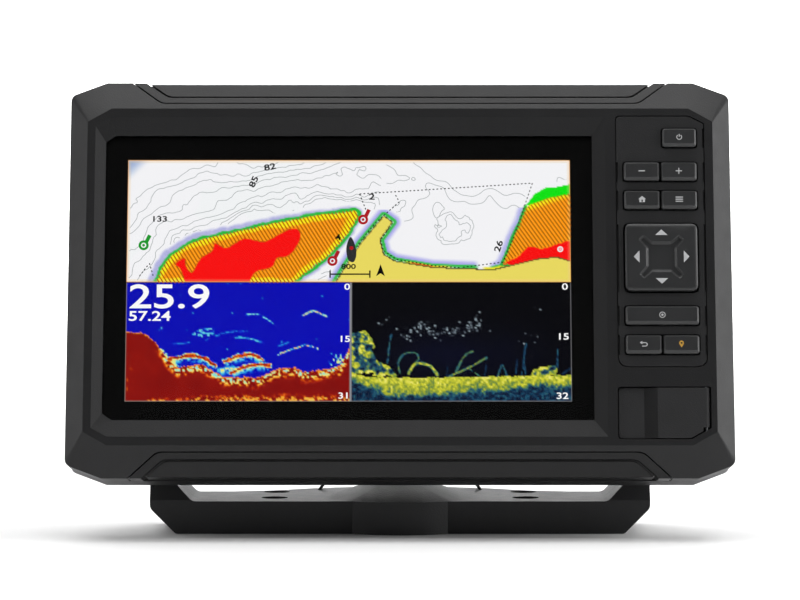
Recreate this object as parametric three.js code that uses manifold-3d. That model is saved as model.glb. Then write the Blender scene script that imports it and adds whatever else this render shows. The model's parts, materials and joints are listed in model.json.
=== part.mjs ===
// Keyed fish finder on a quick-release cradle and a bail mount.
// Millimetres, +Z up. The screen faces -Y, the origin is the centre of the bail's underside.
// The head (screen unit) is drawn upright in its own frame, then leaned back about the tilt axis.
import * as THREE from "three";
import { mergeVertices } from "three/addons/utils/BufferGeometryUtils.js";
import Module from "manifold-3d";

const wasm = await Module();
wasm.setup();

// ---------------------------------------------------------------- driving dimensions
const GAP = 0.3; // between pieces that rest on each other
const TILT = THREE.MathUtils.degToRad(15); // how far the head leans back at rest
const PIVOT = { y: 6, z: 70 }; // tilt axis in the part's frame
const HEAD_PIVOT = { y: 40, z: -10 }; // tilt axis in the head's frame

// Head frame: X right, Y back from the glass, Z up, origin at the head's centre on the glass plane.
const HEAD = { halfW: 115.1, halfH: 70.35, cutX: 12.6, cutZ: 4.8 };
const RIM = { halfW: 108.8, halfH: 59.75, cutX: 8.3, cutZ: 4.75, y: -3 };
const EDGE_Y = 2; // where the sloped border meets the side walls
const SEAM_Y = 9.5; // back of the bezel
const FLANGE = { wallY: 19.4, backY: 24, taper: 5.2 }; // the wide part of the rear housing
const RECESS = { left: -106.2, right: 71.7, top: 57.3, bottom: -57.4, cutX: 5.9, cutZ: 3.3 };
const WINDOW = { left: -102.4, right: 66.8, top: 50.4, bottom: -50.6, cutX: 3.4, cutZ: 2.3 };
const LIP = { front: -1.1, back: -0.6 }; // the bezel's lip around the window
const GLASS = { front: 0.3, back: 2.1, border: 1.6 };
const LCD = { x: -17.8, z: -0.9, w: 154.1, h: 85.9, caseW: 164.9, caseH: 100, front: 2.5, back: 8.1 };
const HUMP = { halfW: 74, bottom: -46, top: 42, cut: 8, draft: 2, back: 46 };
const WALL = 2.5;

// Keypad, all on one centre line.
const KEYPAD = { left: 75.2, right: 105.6, top: 56.9, bottom: -32.1, front: -2.9, back: -1.4 };
const KEY_X = 90.35;
const KEY_HOLE_W = 26.2;
const KEY_HOLE_H = 7.4;
const KEY_CLEAR = 0.45;
const KEY_SPLIT = 0.45; // gap between two keys that share an opening
const KEY_BEVEL = { side: 0.62, top: 0.5, bottom: 1.05, depth: 0.75 };
const KEY_FACE_Y = -4.5;
const POWER = { x: 97.1, z: 49.05, w: 12.65 };
const ROWS = { zoom: 36.9, home: 26.75, select: -14.3, back: -24.55 };
const ROCKER = { z: 6.2, w: 26.2, h: 25, face: -5, pivotY: 0.5 };

const DOOR = { left: 74.7, right: 106.8, top: -39.2, bottom: -57.6, pocketY: 0.6, floorY: 2.6 };
const DOOR_AXIS = { x: 105.2, y: -1.9, r: 1.1, pinR: 0.45, holeR: 0.75, end: -53.4, reach: 103.9 };
const SCREWS = [
  [-106, 59.5], [106, 61.8], [-106, -61.5], [106, -62.5], [-36, 63], [-36, -63],
].map(([x, z]) => ({ x, z }));
const SCREW_SEAT_Y = 18;

// Cradle, in the head's frame.
const CRADLE = { halfW: 80, bottom: -50, top: 36, front: 46.6, back: 50.6 };
const CHEEK = { inner: 75.5, front: 25, r: 14.5 };
const LATCH = { y: 53.5, z: 46, halfW: 12, pinR: 1.6 };
const SOCKETS = [
  { name: "power_socket", x: -22, z: -16, r: 7.5 },
  { name: "transducer_socket", x: 16, z: -16, r: 9.5 },
];

// Bail, in the part's frame.
const BAIL = { halfW: 87.4, inner: 82.4, depth: 41, floor: 11.4, chamfer: 9, armR: 13 };
const HUB = { r: 26.5, topR: 11, top: 16.5 };
const SCREW_HOLE = { x: 44.3, rows: [-5, 19], r: 2.4, headR: 4.75 };
const REAR_PAD = [[62, 20], [46, 24.5], [31, 34.5], [14, 40.5]]; // half of the plate's swell behind the hub
const KNOB = { start: 87.8, end: 108, r: 14.5 };

// ---------------------------------------------------------------- materials
const plastic = (color, roughness = 0.6) =>
  new THREE.MeshStandardMaterial({ color, roughness, metalness: 0 });
const MATERIALS = {
  housing: plastic(0x2b2b2c, 0.6),
  trim: plastic(0x252526, 0.55),
  keypad: plastic(0x2d2d2e, 0.7),
  key: plastic(0x333334, 0.55),
  glass: plastic(0x050506, 0.08),
  screen: plastic(0x2a4fb0, 0.3),
  rubber: plastic(0x161617, 0.85),
  mount: plastic(0x252526, 0.65),
  metal: new THREE.MeshStandardMaterial({ color: 0xb8babd, roughness: 0.35, metalness: 1 }),
  brass: new THREE.MeshStandardMaterial({ color: 0xb99a55, roughness: 0.4, metalness: 1 }),
  board: plastic(0x1d5a36, 0.5),
  ceramic: plastic(0xcfc8b4, 0.6),
};

// ---------------------------------------------------------------- solid helpers
const outward = (geometry) => {
  const p = geometry.getAttribute("position");
  const index = geometry.index.array;
  const at = (i) => new THREE.Vector3().fromBufferAttribute(p, index[i]);
  let volume = 0;
  for (let i = 0; i < index.length; i += 3) {
    volume += at(i).dot(at(i + 1).cross(at(i + 2)));
  }
  if (volume < 0) {
    for (let i = 0; i < index.length; i += 3) {
      [index[i + 1], index[i + 2]] = [index[i + 2], index[i + 1]];
    }
  }
  return geometry;
};

// Any closed three.js geometry as a manifold solid.
function solid(geometry) {
  const bare = new THREE.BufferGeometry();
  bare.setAttribute("position", geometry.getAttribute("position"));
  if (geometry.index) bare.setIndex(geometry.index);
  const merged = outward(mergeVertices(bare, 1e-4));
  return new wasm.Manifold(
    new wasm.Mesh({
      numProp: 3,
      vertProperties: new Float32Array(merged.getAttribute("position").array),
      triVerts: new Uint32Array(merged.index.array),
    }),
  );
}

function geometryOf(body) {
  const mesh = body.getMesh();
  const g = new THREE.BufferGeometry();
  g.setAttribute("position", new THREE.BufferAttribute(new Float32Array(mesh.vertProperties), 3));
  g.setIndex(new THREE.BufferAttribute(new Uint32Array(mesh.triVerts), 1));
  return g.toNonIndexed();
}

// Rings of equal length joined into one closed body; each ring is a list of [x, y, z].
function loft(rings) {
  const n = rings[0].length;
  const position = rings.flat(2);
  const index = [];
  for (let k = 0; k + 1 < rings.length; k++) {
    for (let i = 0; i < n; i++) {
      const a = k * n + i;
      const b = k * n + ((i + 1) % n);
      index.push(a, b, b + n, a, b + n, a + n);
    }
  }
  const first = rings[0];
  const flat = Math.abs(first[0][1] - first[2][1]) + Math.abs(first[0][1] - first[4 % n][1]) < 1e-6;
  const plane = first.map(([x, y, z]) => (flat ? new THREE.Vector2(x, z) : new THREE.Vector2(y, z)));
  const forward = THREE.ShapeUtils.area(plane) > 0;
  const last = (rings.length - 1) * n;
  for (const [a, b, c] of THREE.ShapeUtils.triangulateShape(plane, [])) {
    const [p, q] = forward ? [b, c] : [c, b];
    index.push(a, q, p);
    index.push(last + a, last + p, last + q);
  }
  const g = new THREE.BufferGeometry();
  g.setAttribute("position", new THREE.Float32BufferAttribute(position, 3));
  g.setIndex(index);
  if (!forward) {
    for (let k = 0; k < (rings.length - 1) * n * 6; k += 3) {
      [index[k + 1], index[k + 2]] = [index[k + 2], index[k + 1]];
    }
    g.setIndex(index);
  }
  return solid(g);
}

// A polygon with chosen corners rounded; radii is one number or one per corner.
function rounded(points, radii, steps = 3) {
  const out = [];
  points.forEach((point, i) => {
    const r = Array.isArray(radii) ? radii[i] : radii;
    const p = new THREE.Vector2(...point);
    if (!r) {
      out.push([p.x, p.y]);
      return;
    }
    const before = new THREE.Vector2(...points[(i + points.length - 1) % points.length]).sub(p);
    const after = new THREE.Vector2(...points[(i + 1) % points.length]).sub(p);
    const half = before.angleTo(after) / 2;
    const reach = Math.min(r / Math.tan(half), before.length() * 0.49, after.length() * 0.49);
    const start = p.clone().addScaledVector(before.normalize(), reach);
    const end = p.clone().addScaledVector(after.normalize(), reach);
    const bend = new THREE.QuadraticBezierCurve(start, p, end);
    for (const q of bend.getPoints(steps)) out.push([q.x, q.y]);
  });
  return out;
}

// Rectangle with its corners cut, counter-clockwise from the lower right: [x, z] pairs.
function cutRectangle({ left, right, bottom, top, cutX = 0, cutZ = 0, skip = [] }, grow = 0) {
  const [l, r, b, t] = [left - grow, right + grow, bottom - grow, top + grow];
  const corner = (name, x, z, sx, sz) => {
    if (skip.includes(name) || !cutX) return [[x, z]];
    const along = [x - sx * cutX, z];
    const up = [x, z - sz * cutZ];
    return sx * sz > 0 ? [up, along] : [along, up];
  };
  return [
    ...corner("br", r, b, 1, -1),
    ...corner("tr", r, t, 1, 1),
    ...corner("tl", l, t, -1, 1),
    ...corner("bl", l, b, -1, -1),
  ];
}

const symmetric = ({ halfW, halfH, cutX, cutZ }, grow = 0) =>
  cutRectangle({ left: -halfW, right: halfW, bottom: -halfH, top: halfH, cutX, cutZ }, grow);

// Prisms: a front-view outline [x, z] along Y, a side-view outline [y, z] along X, a plan [x, y] along Z.
const frontRing = (outline, y) => outline.map(([x, z]) => [x, y, z]);
const frontPrism = (outline, y0, y1) => loft([frontRing(outline, y0), frontRing(outline, y1)]);
const frontLoft = (...stages) => loft(stages.map(([outline, y]) => frontRing(outline, y)));

function extruded(outline, length) {
  const shape = new THREE.Shape(outline.map(([a, b]) => new THREE.Vector2(a, b)));
  return new THREE.ExtrudeGeometry(shape, { depth: length, bevelEnabled: false });
}

function sidePrism(outline, x0, x1) {
  const g = extruded(outline, x1 - x0);
  const axes = new THREE.Matrix4().makeBasis(
    new THREE.Vector3(0, 1, 0),
    new THREE.Vector3(0, 0, 1),
    new THREE.Vector3(1, 0, 0),
  );
  return solid(g.applyMatrix4(axes).translate(x0, 0, 0));
}

const planPrism = (outline, z0, z1) => solid(extruded(outline, z1 - z0).translate(0, 0, z0));

const block = (x0, x1, y0, y1, z0, z1) =>
  solid(
    new THREE.BoxGeometry(x1 - x0, y1 - y0, z1 - z0).translate(
      (x0 + x1) / 2, (y0 + y1) / 2, (z0 + z1) / 2,
    ),
  );

const circle = (cx, cy, r, sides = 24, turn = 0.5) =>
  Array.from({ length: sides }, (_, i) => {
    const a = ((i + turn) / sides) * Math.PI * 2;
    return [cx + r * Math.cos(a), cy + r * Math.sin(a)];
  });

// Turned bodies: a profile of [radius, distance] spun about an axis, starting and ending on the axis.
function turned(profile, axis, sides = 24) {
  const g = new THREE.LatheGeometry(profile.map(([r, d]) => new THREE.Vector2(r, d)), sides);
  if (axis === "x") g.rotateZ(-Math.PI / 2);
  if (axis === "z") g.rotateX(Math.PI / 2);
  return solid(g);
}

const rod = (axis, r, d0, d1, sides = 16) => turned([[0, d0], [r, d0], [r, d1], [0, d1]], axis, sides);

const join = (bodies) => bodies.reduce((all, body) => all.add(body));
const cut = (body, ...tools) => tools.reduce((rest, tool) => rest.subtract(tool), body);

function piece(name, body, material, position = [0, 0, 0]) {
  const mesh = new THREE.Mesh(geometryOf(body), MATERIALS[material]);
  mesh.name = name;
  mesh.position.set(...position);
  return mesh;
}

// ---------------------------------------------------------------- front bezel and trim caps
// The head's outline is round only where its sides meet the cut corners.
const roundedCorners = (outline, r) => rounded(outline, [0, r, r, 0, 0, r, r, 0], 6);
const headOutline = (grow = 0) => roundedCorners(symmetric(HEAD, grow), 3);
const rimOutline = roundedCorners(symmetric(RIM), 1);

const bezelBody = frontLoft(
  [rimOutline, RIM.y],
  [headOutline(), EDGE_Y],
  [headOutline(-0.4), SEAM_Y],
);

// Front-view outline of a trim cap: a long trapezium that runs past the head's edge.
function trimOutline(side, edge, inset) {
  const run = 14;
  const points = [
    [83.1 - inset * 1.1, edge], [93.2 - inset, edge + 8.4], [93.2 - inset, edge + run],
    [-93.2 + inset, edge + run], [-93.2 + inset, edge + 8.4], [-83.1 + inset * 1.1, edge],
  ];
  const shape = rounded(points, [5, 0, 0, 0, 0, 5], 3);
  return side > 0 ? shape : shape.map(([x, z]) => [x, -z]).reverse();
}

function trimCap(side) {
  const sunk = (dy, dz) => bezelBody.translate([0, dy, -side * dz]);
  const body = frontPrism(trimOutline(side, 62, 0), -6, SEAM_Y - 0.6).intersect(bezelBody);
  const back = sunk(1.4, 2.1);
  // A shallow sunk panel with a groove along its edge.
  const panel = frontPrism(trimOutline(side, 64.2, 1.6), -6, SEAM_Y + 1);
  const inner = frontPrism(trimOutline(side, 64.75, 2.1), -7, SEAM_Y + 2);
  return cut(body, back, cut(panel, sunk(0.25, 0.45)), cut(panel, inner, sunk(0.6, 1)));
}

function trimPocket(side) {
  const shape = frontPrism(trimOutline(side, 62 - GAP, -GAP), -6, SEAM_Y - GAP);
  return cut(shape, bezelBody.translate([0, 1.7, -side * 2.4]));
}

const recessCorners = { skip: ["br", "tr"] };
const recessOutline = (box, grow = 0) => cutRectangle({ ...box, ...recessCorners }, grow);
const keypadOutline = (grow) =>
  rounded(
    cutRectangle({ ...KEYPAD, cutX: 5.3, cutZ: 2.7, skip: ["br", "bl", "tl"] }, grow),
    [3.5, 0.6, 0.6, 1.5, 3.5],
  );
const doorOutline = (grow) =>
  rounded(
    cutRectangle({ ...DOOR, cutX: 6.8, cutZ: 3.9, skip: ["tr", "bl", "tl"] }, grow),
    [0.5, 0.5, 0.5, 1.2, 1.2],
    2,
  );

function bezel() {
  const recess = frontLoft(
    [recessOutline(RECESS, 0.6), RIM.y - 0.4],
    [recessOutline(WINDOW), LIP.front],
    [recessOutline(WINDOW), GLASS.front],
  );
  const glassSeat = frontPrism(recessOutline(WINDOW, 2.2), LIP.back, SEAM_Y + 1);
  const keypadSeat = frontPrism(keypadOutline(GAP), RIM.y - 1, KEYPAD.back + GAP);
  const keypadOpening = frontPrism(keypadOutline(-1.1), RIM.y - 1, SEAM_Y + 1);
  const keypadRoom = block(73.6, 107, 0.2, SEAM_Y + 1, -34, 58.2);
  const doorSeat = frontPrism(doorOutline(0), RIM.y - 1, DOOR.pocketY);
  const cardWay = block(82, 98, -1, DOOR.floorY + 1, -51, -45.5);
  const pinHole = rod("z", DOOR_AXIS.holeR, -56.3, -36.8, 10).translate([DOOR_AXIS.x, DOOR_AXIS.y, 0]);
  // The back is cored out to a shell, around the glass seat, the door's floor and the screw posts.
  const posts = SCREWS.map(({ x, z }) => rod("y", 3.6, 2, SEAM_Y, 12).translate([x, 0, z]));
  const kept = join([
    frontPrism(recessOutline(WINDOW, 4.2), 2, SEAM_Y),
    block(71, 109, 2, DOOR.floorY, -60, -34),
    ...posts,
  ]);
  const core = cut(frontPrism(headOutline(-3.2), 2.8, SEAM_Y + 1), kept);
  const threads = SCREWS.map(({ x, z }) => rod("y", 1.8, 3.4, SEAM_Y + 1, 10).translate([x, 0, z]));
  return cut(
    bezelBody, recess, glassSeat, keypadSeat, keypadOpening, keypadRoom, doorSeat, cardWay,
    pinHole, core, ...threads, trimPocket(1), trimPocket(-1),
  );
}

// ---------------------------------------------------------------- screen stack
function screenParts() {
  const gasket = cut(
    frontPrism(recessOutline(WINDOW, 1.4), LIP.back + GAP, GLASS.front - 0.3 + 0.01),
    frontPrism(recessOutline(WINDOW, 0.2), -2, 2),
  );
  const around = (w, h) => [
    [LCD.x + w / 2, LCD.z - h / 2], [LCD.x + w / 2, LCD.z + h / 2],
    [LCD.x - w / 2, LCD.z + h / 2], [LCD.x - w / 2, LCD.z - h / 2],
  ];
  const panel = frontPrism(around(LCD.w + 4, LCD.h + 4), LCD.front, LCD.front + 1.2);
  const frame = cut(
    frontPrism(around(LCD.caseW, LCD.caseH), LCD.front, LCD.back),
    frontPrism(around(LCD.w + 4.8, LCD.h + 4.8), LCD.front - 1, LCD.front + 1.2 + GAP),
  );
  const bracket = cut(
    frontPrism(around(LCD.caseW + 3, LCD.caseH + 2), LCD.back + GAP, LCD.back + 1.3),
    ...[-1, 0, 1].map((k) => block(LCD.x + k * 50 - 18, LCD.x + k * 50 + 18, 5, 12, -30, 30)),
  );
  return [
    piece("glass_gasket", gasket, "rubber"),
    piece("cover_glass", frontPrism(recessOutline(WINDOW, GLASS.border), GLASS.front, GLASS.back), "glass"),
    piece("lcd_panel", panel, "screen"),
    piece("lcd_backlight_case", frame, "metal"),
    piece("lcd_bracket", bracket, "metal"),
  ];
}

// ---------------------------------------------------------------- keypad
const box2 = (cx, cz, w, h, r, steps = 2) =>
  rounded(
    [[cx + w / 2, cz - h / 2], [cx + w / 2, cz + h / 2], [cx - w / 2, cz + h / 2], [cx - w / 2, cz - h / 2]],
    r,
    steps,
  );

// Key sizes are those of the caps; two caps that share a row's opening meet in its middle.
const CAP_W = KEY_HOLE_W - 2 * KEY_CLEAR;
const CAP_H = KEY_HOLE_H - 2 * KEY_CLEAR;
const halfCapW = (CAP_W - KEY_SPLIT) / 2;
const pair = (row) =>
  [-1, 1].map((s) => ({ x: KEY_X + (s * (halfCapW + KEY_SPLIT)) / 2, z: ROWS[row], w: halfCapW }));
const [MINUS, PLUS] = pair("zoom");
const [HOME, MENU] = pair("home");
const [BACK, MARK] = pair("back");
const KEYS = {
  power_key: { x: POWER.x, z: POWER.z, w: POWER.w - 2 * KEY_CLEAR },
  minus_key: MINUS,
  plus_key: PLUS,
  home_key: HOME,
  menu_key: MENU,
  select_key: { x: KEY_X, z: ROWS.select, w: CAP_W },
  back_key: BACK,
  mark_key: MARK,
};

// A key cap about its own centre: bevelled face, straight sides, a retaining flange and a plunger.
function keyCap({ w }) {
  const { side: inset, top, bottom, depth } = KEY_BEVEL;
  const cap = frontLoft(
    [box2(0, (bottom - top) / 2, w - 2 * inset, CAP_H - top - bottom, 0.5), KEY_FACE_Y],
    [box2(0, 0, w, CAP_H, 0.9), KEY_FACE_Y + depth],
    [box2(0, 0, w, CAP_H, 0.9), -0.5],
  );
  const flange = frontPrism(box2(0, 0, w, CAP_H + 1.4, 0.9), -0.9, -0.2);
  return join([cap, flange, rod("y", 1.5, -0.5, 2.2, 10)]);
}

function surround() {
  const opening = (x, z, w, h, r) => frontPrism(box2(x, z, w, h, r), -5, 0);
  const rows = Object.values(ROWS);
  const openings = [
    opening(POWER.x, POWER.z, POWER.w, KEY_HOLE_H, 1.1),
    ...rows.map((z) => opening(KEY_X, z, KEY_HOLE_W, KEY_HOLE_H, 1.1)),
    opening(KEY_X, ROCKER.z, ROCKER.w, ROCKER.h, 2.2),
  ];
  // Short notches in both edges beside each row let the panel flex.
  const notch = (x, z, h) => block(x - 0.5, x + 0.5, -5, -1.9, z - h / 2, z + h / 2);
  const notches = [...rows.map((z) => [z, 7]), [ROCKER.z, 24]].flatMap(([z, h]) =>
    [KEYPAD.left, KEYPAD.right].map((x) => notch(x, z, h)),
  );
  return cut(
    frontPrism(keypadOutline(0), KEYPAD.front, KEYPAD.back),
    ...openings, ...notches, notch(KEYPAD.right, POWER.z, 7),
  );
}

// The four-way rocker: a bevelled cushion with a cross-shaped dish.
function rockerPad() {
  const width = ROCKER.w - 2 * 0.6;
  const height = ROCKER.h - 2 * 0.6;
  const cap = frontLoft(
    [box2(0, 0, width - 2.6, height - 2.6, 1.4, 3), ROCKER.face],
    [box2(0, 0, width, height, 2, 3), ROCKER.face + 0.7],
    [box2(0, 0, width, height, 2, 3), -0.2],
  );
  const centre = new THREE.Vector2();
  const petal = (quarter, grow) =>
    [[7.4 + grow, -6.2], [5 + grow, -3.3], [5 + grow, 3.3], [7.4 + grow, 6.2]].map(([a, b]) =>
      new THREE.Vector2(a, b).rotateAround(centre, (quarter * Math.PI) / 2).toArray(),
    );
  const dish = (grow) => [0, 1, 2, 3].flatMap((quarter) => petal(quarter, grow));
  const stages = [[dish(0.3), ROCKER.face - 0.5], [dish(0.3), ROCKER.face], [dish(-0.4), ROCKER.face + 0.9]];
  return cut(cap, frontLoft(...stages));
}

function keypadParts() {
  const centres = Object.values(KEYS);
  const membrane = cut(
    block(75, 105.5, 1.4, 2.4, -32, 56.5),
    ...centres.map(({ x, z }) => rod("y", 2.2, 0, 4, 10).translate([x, 0, z])),
    rod("y", 4, 0, 4, 12).translate([KEY_X, 0, ROCKER.z]),
  );
  const board = cut(
    block(74.6, 106, 2.9, 4.4, -53, 57),
    block(82.4, 97.6, 2, 6, -50.2, -46.4),
  );
  return [
    piece("keypad_surround", surround(), "keypad"),
    piece("keypad_membrane", membrane, "rubber"),
    piece("keypad_board", board, "board"),
    ...Object.entries(KEYS).map(([name, key]) => piece(name, keyCap(key), "key", [key.x, 0, key.z])),
    piece("rocker_pad", rockerPad(), "key", [KEY_X, 0, ROCKER.z]),
    piece("rocker_pivot", rod("y", 2.6, 0.1, 2.2, 12), "key", [KEY_X, 0, ROCKER.z]),
  ];
}

// ---------------------------------------------------------------- card door
function cardDoor() {
  const { x, y, r, end, reach, holeR } = DOOR_AXIS;
  // Plan section [x, y]: thin thumb leaf on the left, raised leaf on the right, round hinge edge.
  const edge = Array.from({ length: 7 }, (_, i) => {
    const a = -Math.PI / 2 + (i / 6) * Math.PI;
    return [x + r * Math.cos(a), y + r * Math.sin(a)];
  });
  const section = [[DOOR.left, -0.6], [DOOR.left, -2], [83.8, -2], [88.4, -3], ...edge, [102.6, -0.6]];
  const leaf = planPrism(section, DOOR.bottom, DOOR.top).intersect(frontPrism(doorOutline(-0.4), -6, 3));
  // Past the end of the knuckle the corner stops short, so that it clears the bezel as it swings.
  const corner = block(reach, DOOR.right, -6, 3, DOOR.bottom - 1, end);
  return cut(leaf, corner, rod("z", holeR, -60, -36, 10).translate([x, y, 0]));
}

function doorParts() {
  const ring = (w, h) => box2(90, -48.3, w, h, 1.2);
  const gasket = cut(frontPrism(ring(22, 11), -0.3, DOOR.pocketY - GAP), frontPrism(ring(18.6, 7.6), -2, 2));
  const slot = cut(block(82.8, 97.2, 1.2, 16.4, -49.6, -47), block(84.2, 95.8, 0, 15.8, -48.8, -47.8));
  const pin = rod("z", DOOR_AXIS.pinR, -56, -37.2, 10);
  return [
    piece("card_door", cardDoor(), "trim"),
    piece("card_door_pin", pin, "metal", [DOOR_AXIS.x, DOOR_AXIS.y, 0]),
    piece("card_door_gasket", gasket, "rubber"),
    piece("card_slot", slot, "metal"),
  ];
}

// ---------------------------------------------------------------- rear housing and inner parts
const humpOutline = (inset, shrink) =>
  rounded(
    cutRectangle(
      { left: -HUMP.halfW, right: HUMP.halfW, bottom: HUMP.bottom, top: HUMP.top, cutX: HUMP.cut, cutZ: HUMP.cut },
      -inset - shrink,
    ),
    2,
    2,
  );

function rearHousing() {
  const seam = SEAM_Y + 0.9;
  const flange = frontLoft(
    [headOutline(-0.8), seam],
    [headOutline(-0.8), FLANGE.wallY],
    [headOutline(-0.8 - FLANGE.taper), FLANGE.backY],
  );
  const hump = frontLoft(
    [humpOutline(0, 0), FLANGE.backY - 2],
    [humpOutline(0, HUMP.draft), HUMP.back - 2],
    [humpOutline(2, HUMP.draft), HUMP.back],
  );
  const inside = frontLoft([humpOutline(WALL, 0), seam - 1], [humpOutline(WALL, HUMP.draft), HUMP.back - WALL]);
  const posts = SCREWS.map(({ x, z }) => rod("y", 4.4, 5, 25, 12).translate([x, 0, z]));
  const room = cut(frontPrism(headOutline(-8), seam - 1, FLANGE.backY - WALL), ...posts);
  const screwHoles = SCREWS.flatMap(({ x, z }) => [
    rod("y", 1.9, 5, 25, 10).translate([x, 0, z]),
    rod("y", 3.3, SCREW_SEAT_Y, 25, 12).translate([x, 0, z]),
  ]);
  // A ramped notch in the top of the hump takes the latch's hook.
  const notch = sidePrism([[35.6, 38.3], [39.2, 38.3], [43.6, 40.6], [43.6, 44], [35.6, 44]], -13, 13);
  const floor = block(-17, 17, 33, 45, 34.6, 39).intersect(cut(hump, notch));
  const standoffs = [-57, 57].flatMap((x) => [-32, 28].map((z) => rod("y", 2.6, 25.9, HUMP.back - 1, 12).translate([x, 0, z])));
  const sockets = SOCKETS.map(({ x, z, r }) => rod("y", r + GAP, HUMP.back - 5, HUMP.back + 1, 20).translate([x, 0, z]));
  const vent = rod("y", 3.2, HUMP.back - 4, HUMP.back + 1, 12).translate([54, 0, 22]);
  const shell = cut(join([flange, hump]), notch, inside, room);
  return cut(join([shell, floor, ...standoffs]), ...screwHoles, ...sockets, vent);
}

function socket({ r }) {
  const face = HUMP.back + 6;
  return cut(
    rod("y", r, HUMP.back - 5.5, face, 20),
    cut(rod("y", r - 1.6, face - 3.5, face + 1, 20), rod("y", r * 0.35, 40, 60, 10)),
  );
}

function innerParts() {
  const main = block(-62, 62, 24, 25.6, -37, 33);
  const shield = block(-40, 28, 26, 30, -30, 24);
  const seal = cut(
    frontPrism(headOutline(-1.2), SEAM_Y + GAP, SEAM_Y + 0.6),
    frontPrism(headOutline(-2.9), SEAM_Y - 1, SEAM_Y + 2),
  );
  const seat = SCREW_SEAT_Y + GAP;
  const screw = join([rod("y", 1.5, 4, seat + 1, 10), rod("y", 2.8, seat, seat + 2.4, 12)]);
  return [
    piece("housing_seal", seal, "rubber"),
    piece("main_board", main, "board"),
    piece("board_shield", shield, "metal"),
    piece("gps_antenna", block(-9, 9, 11.5, 15.5, 44, 60), "ceramic"),
    piece("beeper", rod("y", 6, 26, 31, 16), "rubber", [48, 0, -24]),
    ...SOCKETS.map((s) => piece(s.name, socket(s), "rubber", [s.x, 0, s.z])),
    piece("vent_plug", rod("y", 2.9, HUMP.back - 3.6, HUMP.back + 0.4, 12), "rubber", [54, 0, 22]),
    ...SCREWS.map(({ x, z }, i) => piece(`housing_screw_${i + 1}`, screw, "metal", [x, 0, z])),
  ];
}

// ---------------------------------------------------------------- cradle and latch
function cradle() {
  const plate = frontPrism(
    rounded(
      cutRectangle({ left: -CRADLE.halfW, right: CRADLE.halfW, bottom: CRADLE.bottom, top: CRADLE.top, cutX: 10, cutZ: 10 }),
      2,
      2,
    ),
    CRADLE.front,
    CRADLE.back,
  );
  const shelf = block(-60, 60, 34, CRADLE.front + 1, -50, -46.7);
  const cheekSide = [
    [CRADLE.back, -36], [CRADLE.back, 16],
    ...circle(HEAD_PIVOT.y, HEAD_PIVOT.z, CHEEK.r, 16, 0).slice(4, 13),
  ];
  const cheeks = [-1, 1].map((s) =>
    cut(
      sidePrism(cheekSide, Math.min(s * CHEEK.inner, s * CRADLE.halfW), Math.max(s * CHEEK.inner, s * CRADLE.halfW)),
      rod("x", 5.3, -90, 90, 16).translate([0, HEAD_PIVOT.y, HEAD_PIVOT.z]),
    ),
  );
  const earSide = [[CRADLE.front, 30], [CRADLE.back, 30], [58, 44], [57, 49], [52, 50], [CRADLE.front, 46]];
  const ears = [-1, 1].map((s) => {
    const [a, b] = [s * (LATCH.halfW + 0.6), s * (LATCH.halfW + 4)];
    return sidePrism(earSide, Math.min(a, b), Math.max(a, b));
  });
  const ribs = [-64, -44, 44, 64].map((x) => block(x - 1.5, x + 1.5, CRADLE.back - 1, CRADLE.back + 3, -38, 26));
  return cut(
    join([plate, shelf, ...cheeks, ...ears, ...ribs]),
    rod("x", LATCH.pinR + GAP, -30, 30, 12).translate([0, LATCH.y, LATCH.z]),
    ...SOCKETS.map(({ x, z, r }) => rod("y", r + 1.2, 40, 60, 20).translate([x, 0, z])),
    block(48, 60, 40, 60, 16, 28),
  );
}

function latchParts() {
  // Side view [y, z] about the pin: hook in front, thumb lever behind.
  const side = [
    [-17, -7.1], [-14.6, -7.1], [-11.6, -5.5], [-11.6, -4.6], [-3.6, -3.6], [2.5, -3.4], [13, 9], [12, 12],
    [10, 12.4], [2, 3.6], [-3, 3.4], [-17, -1.2],
  ];
  const lever = sidePrism(side, -LATCH.halfW, LATCH.halfW);
  const latch = cut(
    lever,
    rod("x", LATCH.pinR + GAP, -30, 30, 12),
    block(-6, 6, -4.2, 4.2, -6, 6),
  );
  const turns = 3;
  class Coil extends THREE.Curve {
    getPoint(t) {
      const a = t * turns * Math.PI * 2;
      return new THREE.Vector3(-4.2 + t * 8.4, 3 * Math.cos(a), 3 * Math.sin(a));
    }
  }
  const wire = new THREE.Shape(circle(0, 0, 0.4, 6).map(([a, b]) => new THREE.Vector2(a, b)));
  const spring = new THREE.ExtrudeGeometry(wire, { steps: 36, extrudePath: new Coil(), bevelEnabled: false });
  const at = [0, LATCH.y, LATCH.z];
  return [
    piece("release_latch", latch, "mount", at),
    piece("latch_pin", rod("x", LATCH.pinR, -15.8, 15.8, 12), "metal", at),
    piece("latch_spring", solid(spring), "metal", at),
  ];
}

const side = (s, d0, d1) => [Math.min(s * d0, s * d1), Math.max(s * d0, s * d1)];
const SIDES = [["left", -1], ["right", 1]];
const inserts = () =>
  SIDES.map(([name, s]) => {
    const [a, b] = side(s, CHEEK.inner + 0.3, CRADLE.halfW - 0.2);
    const ring = cut(rod("x", 5, a, b, 16), rod("x", 3.3, a - 1, b + 1, 16));
    return piece(`threaded_insert_${name}`, ring, "brass", [0, HEAD_PIVOT.y, HEAD_PIVOT.z]);
  });

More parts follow.
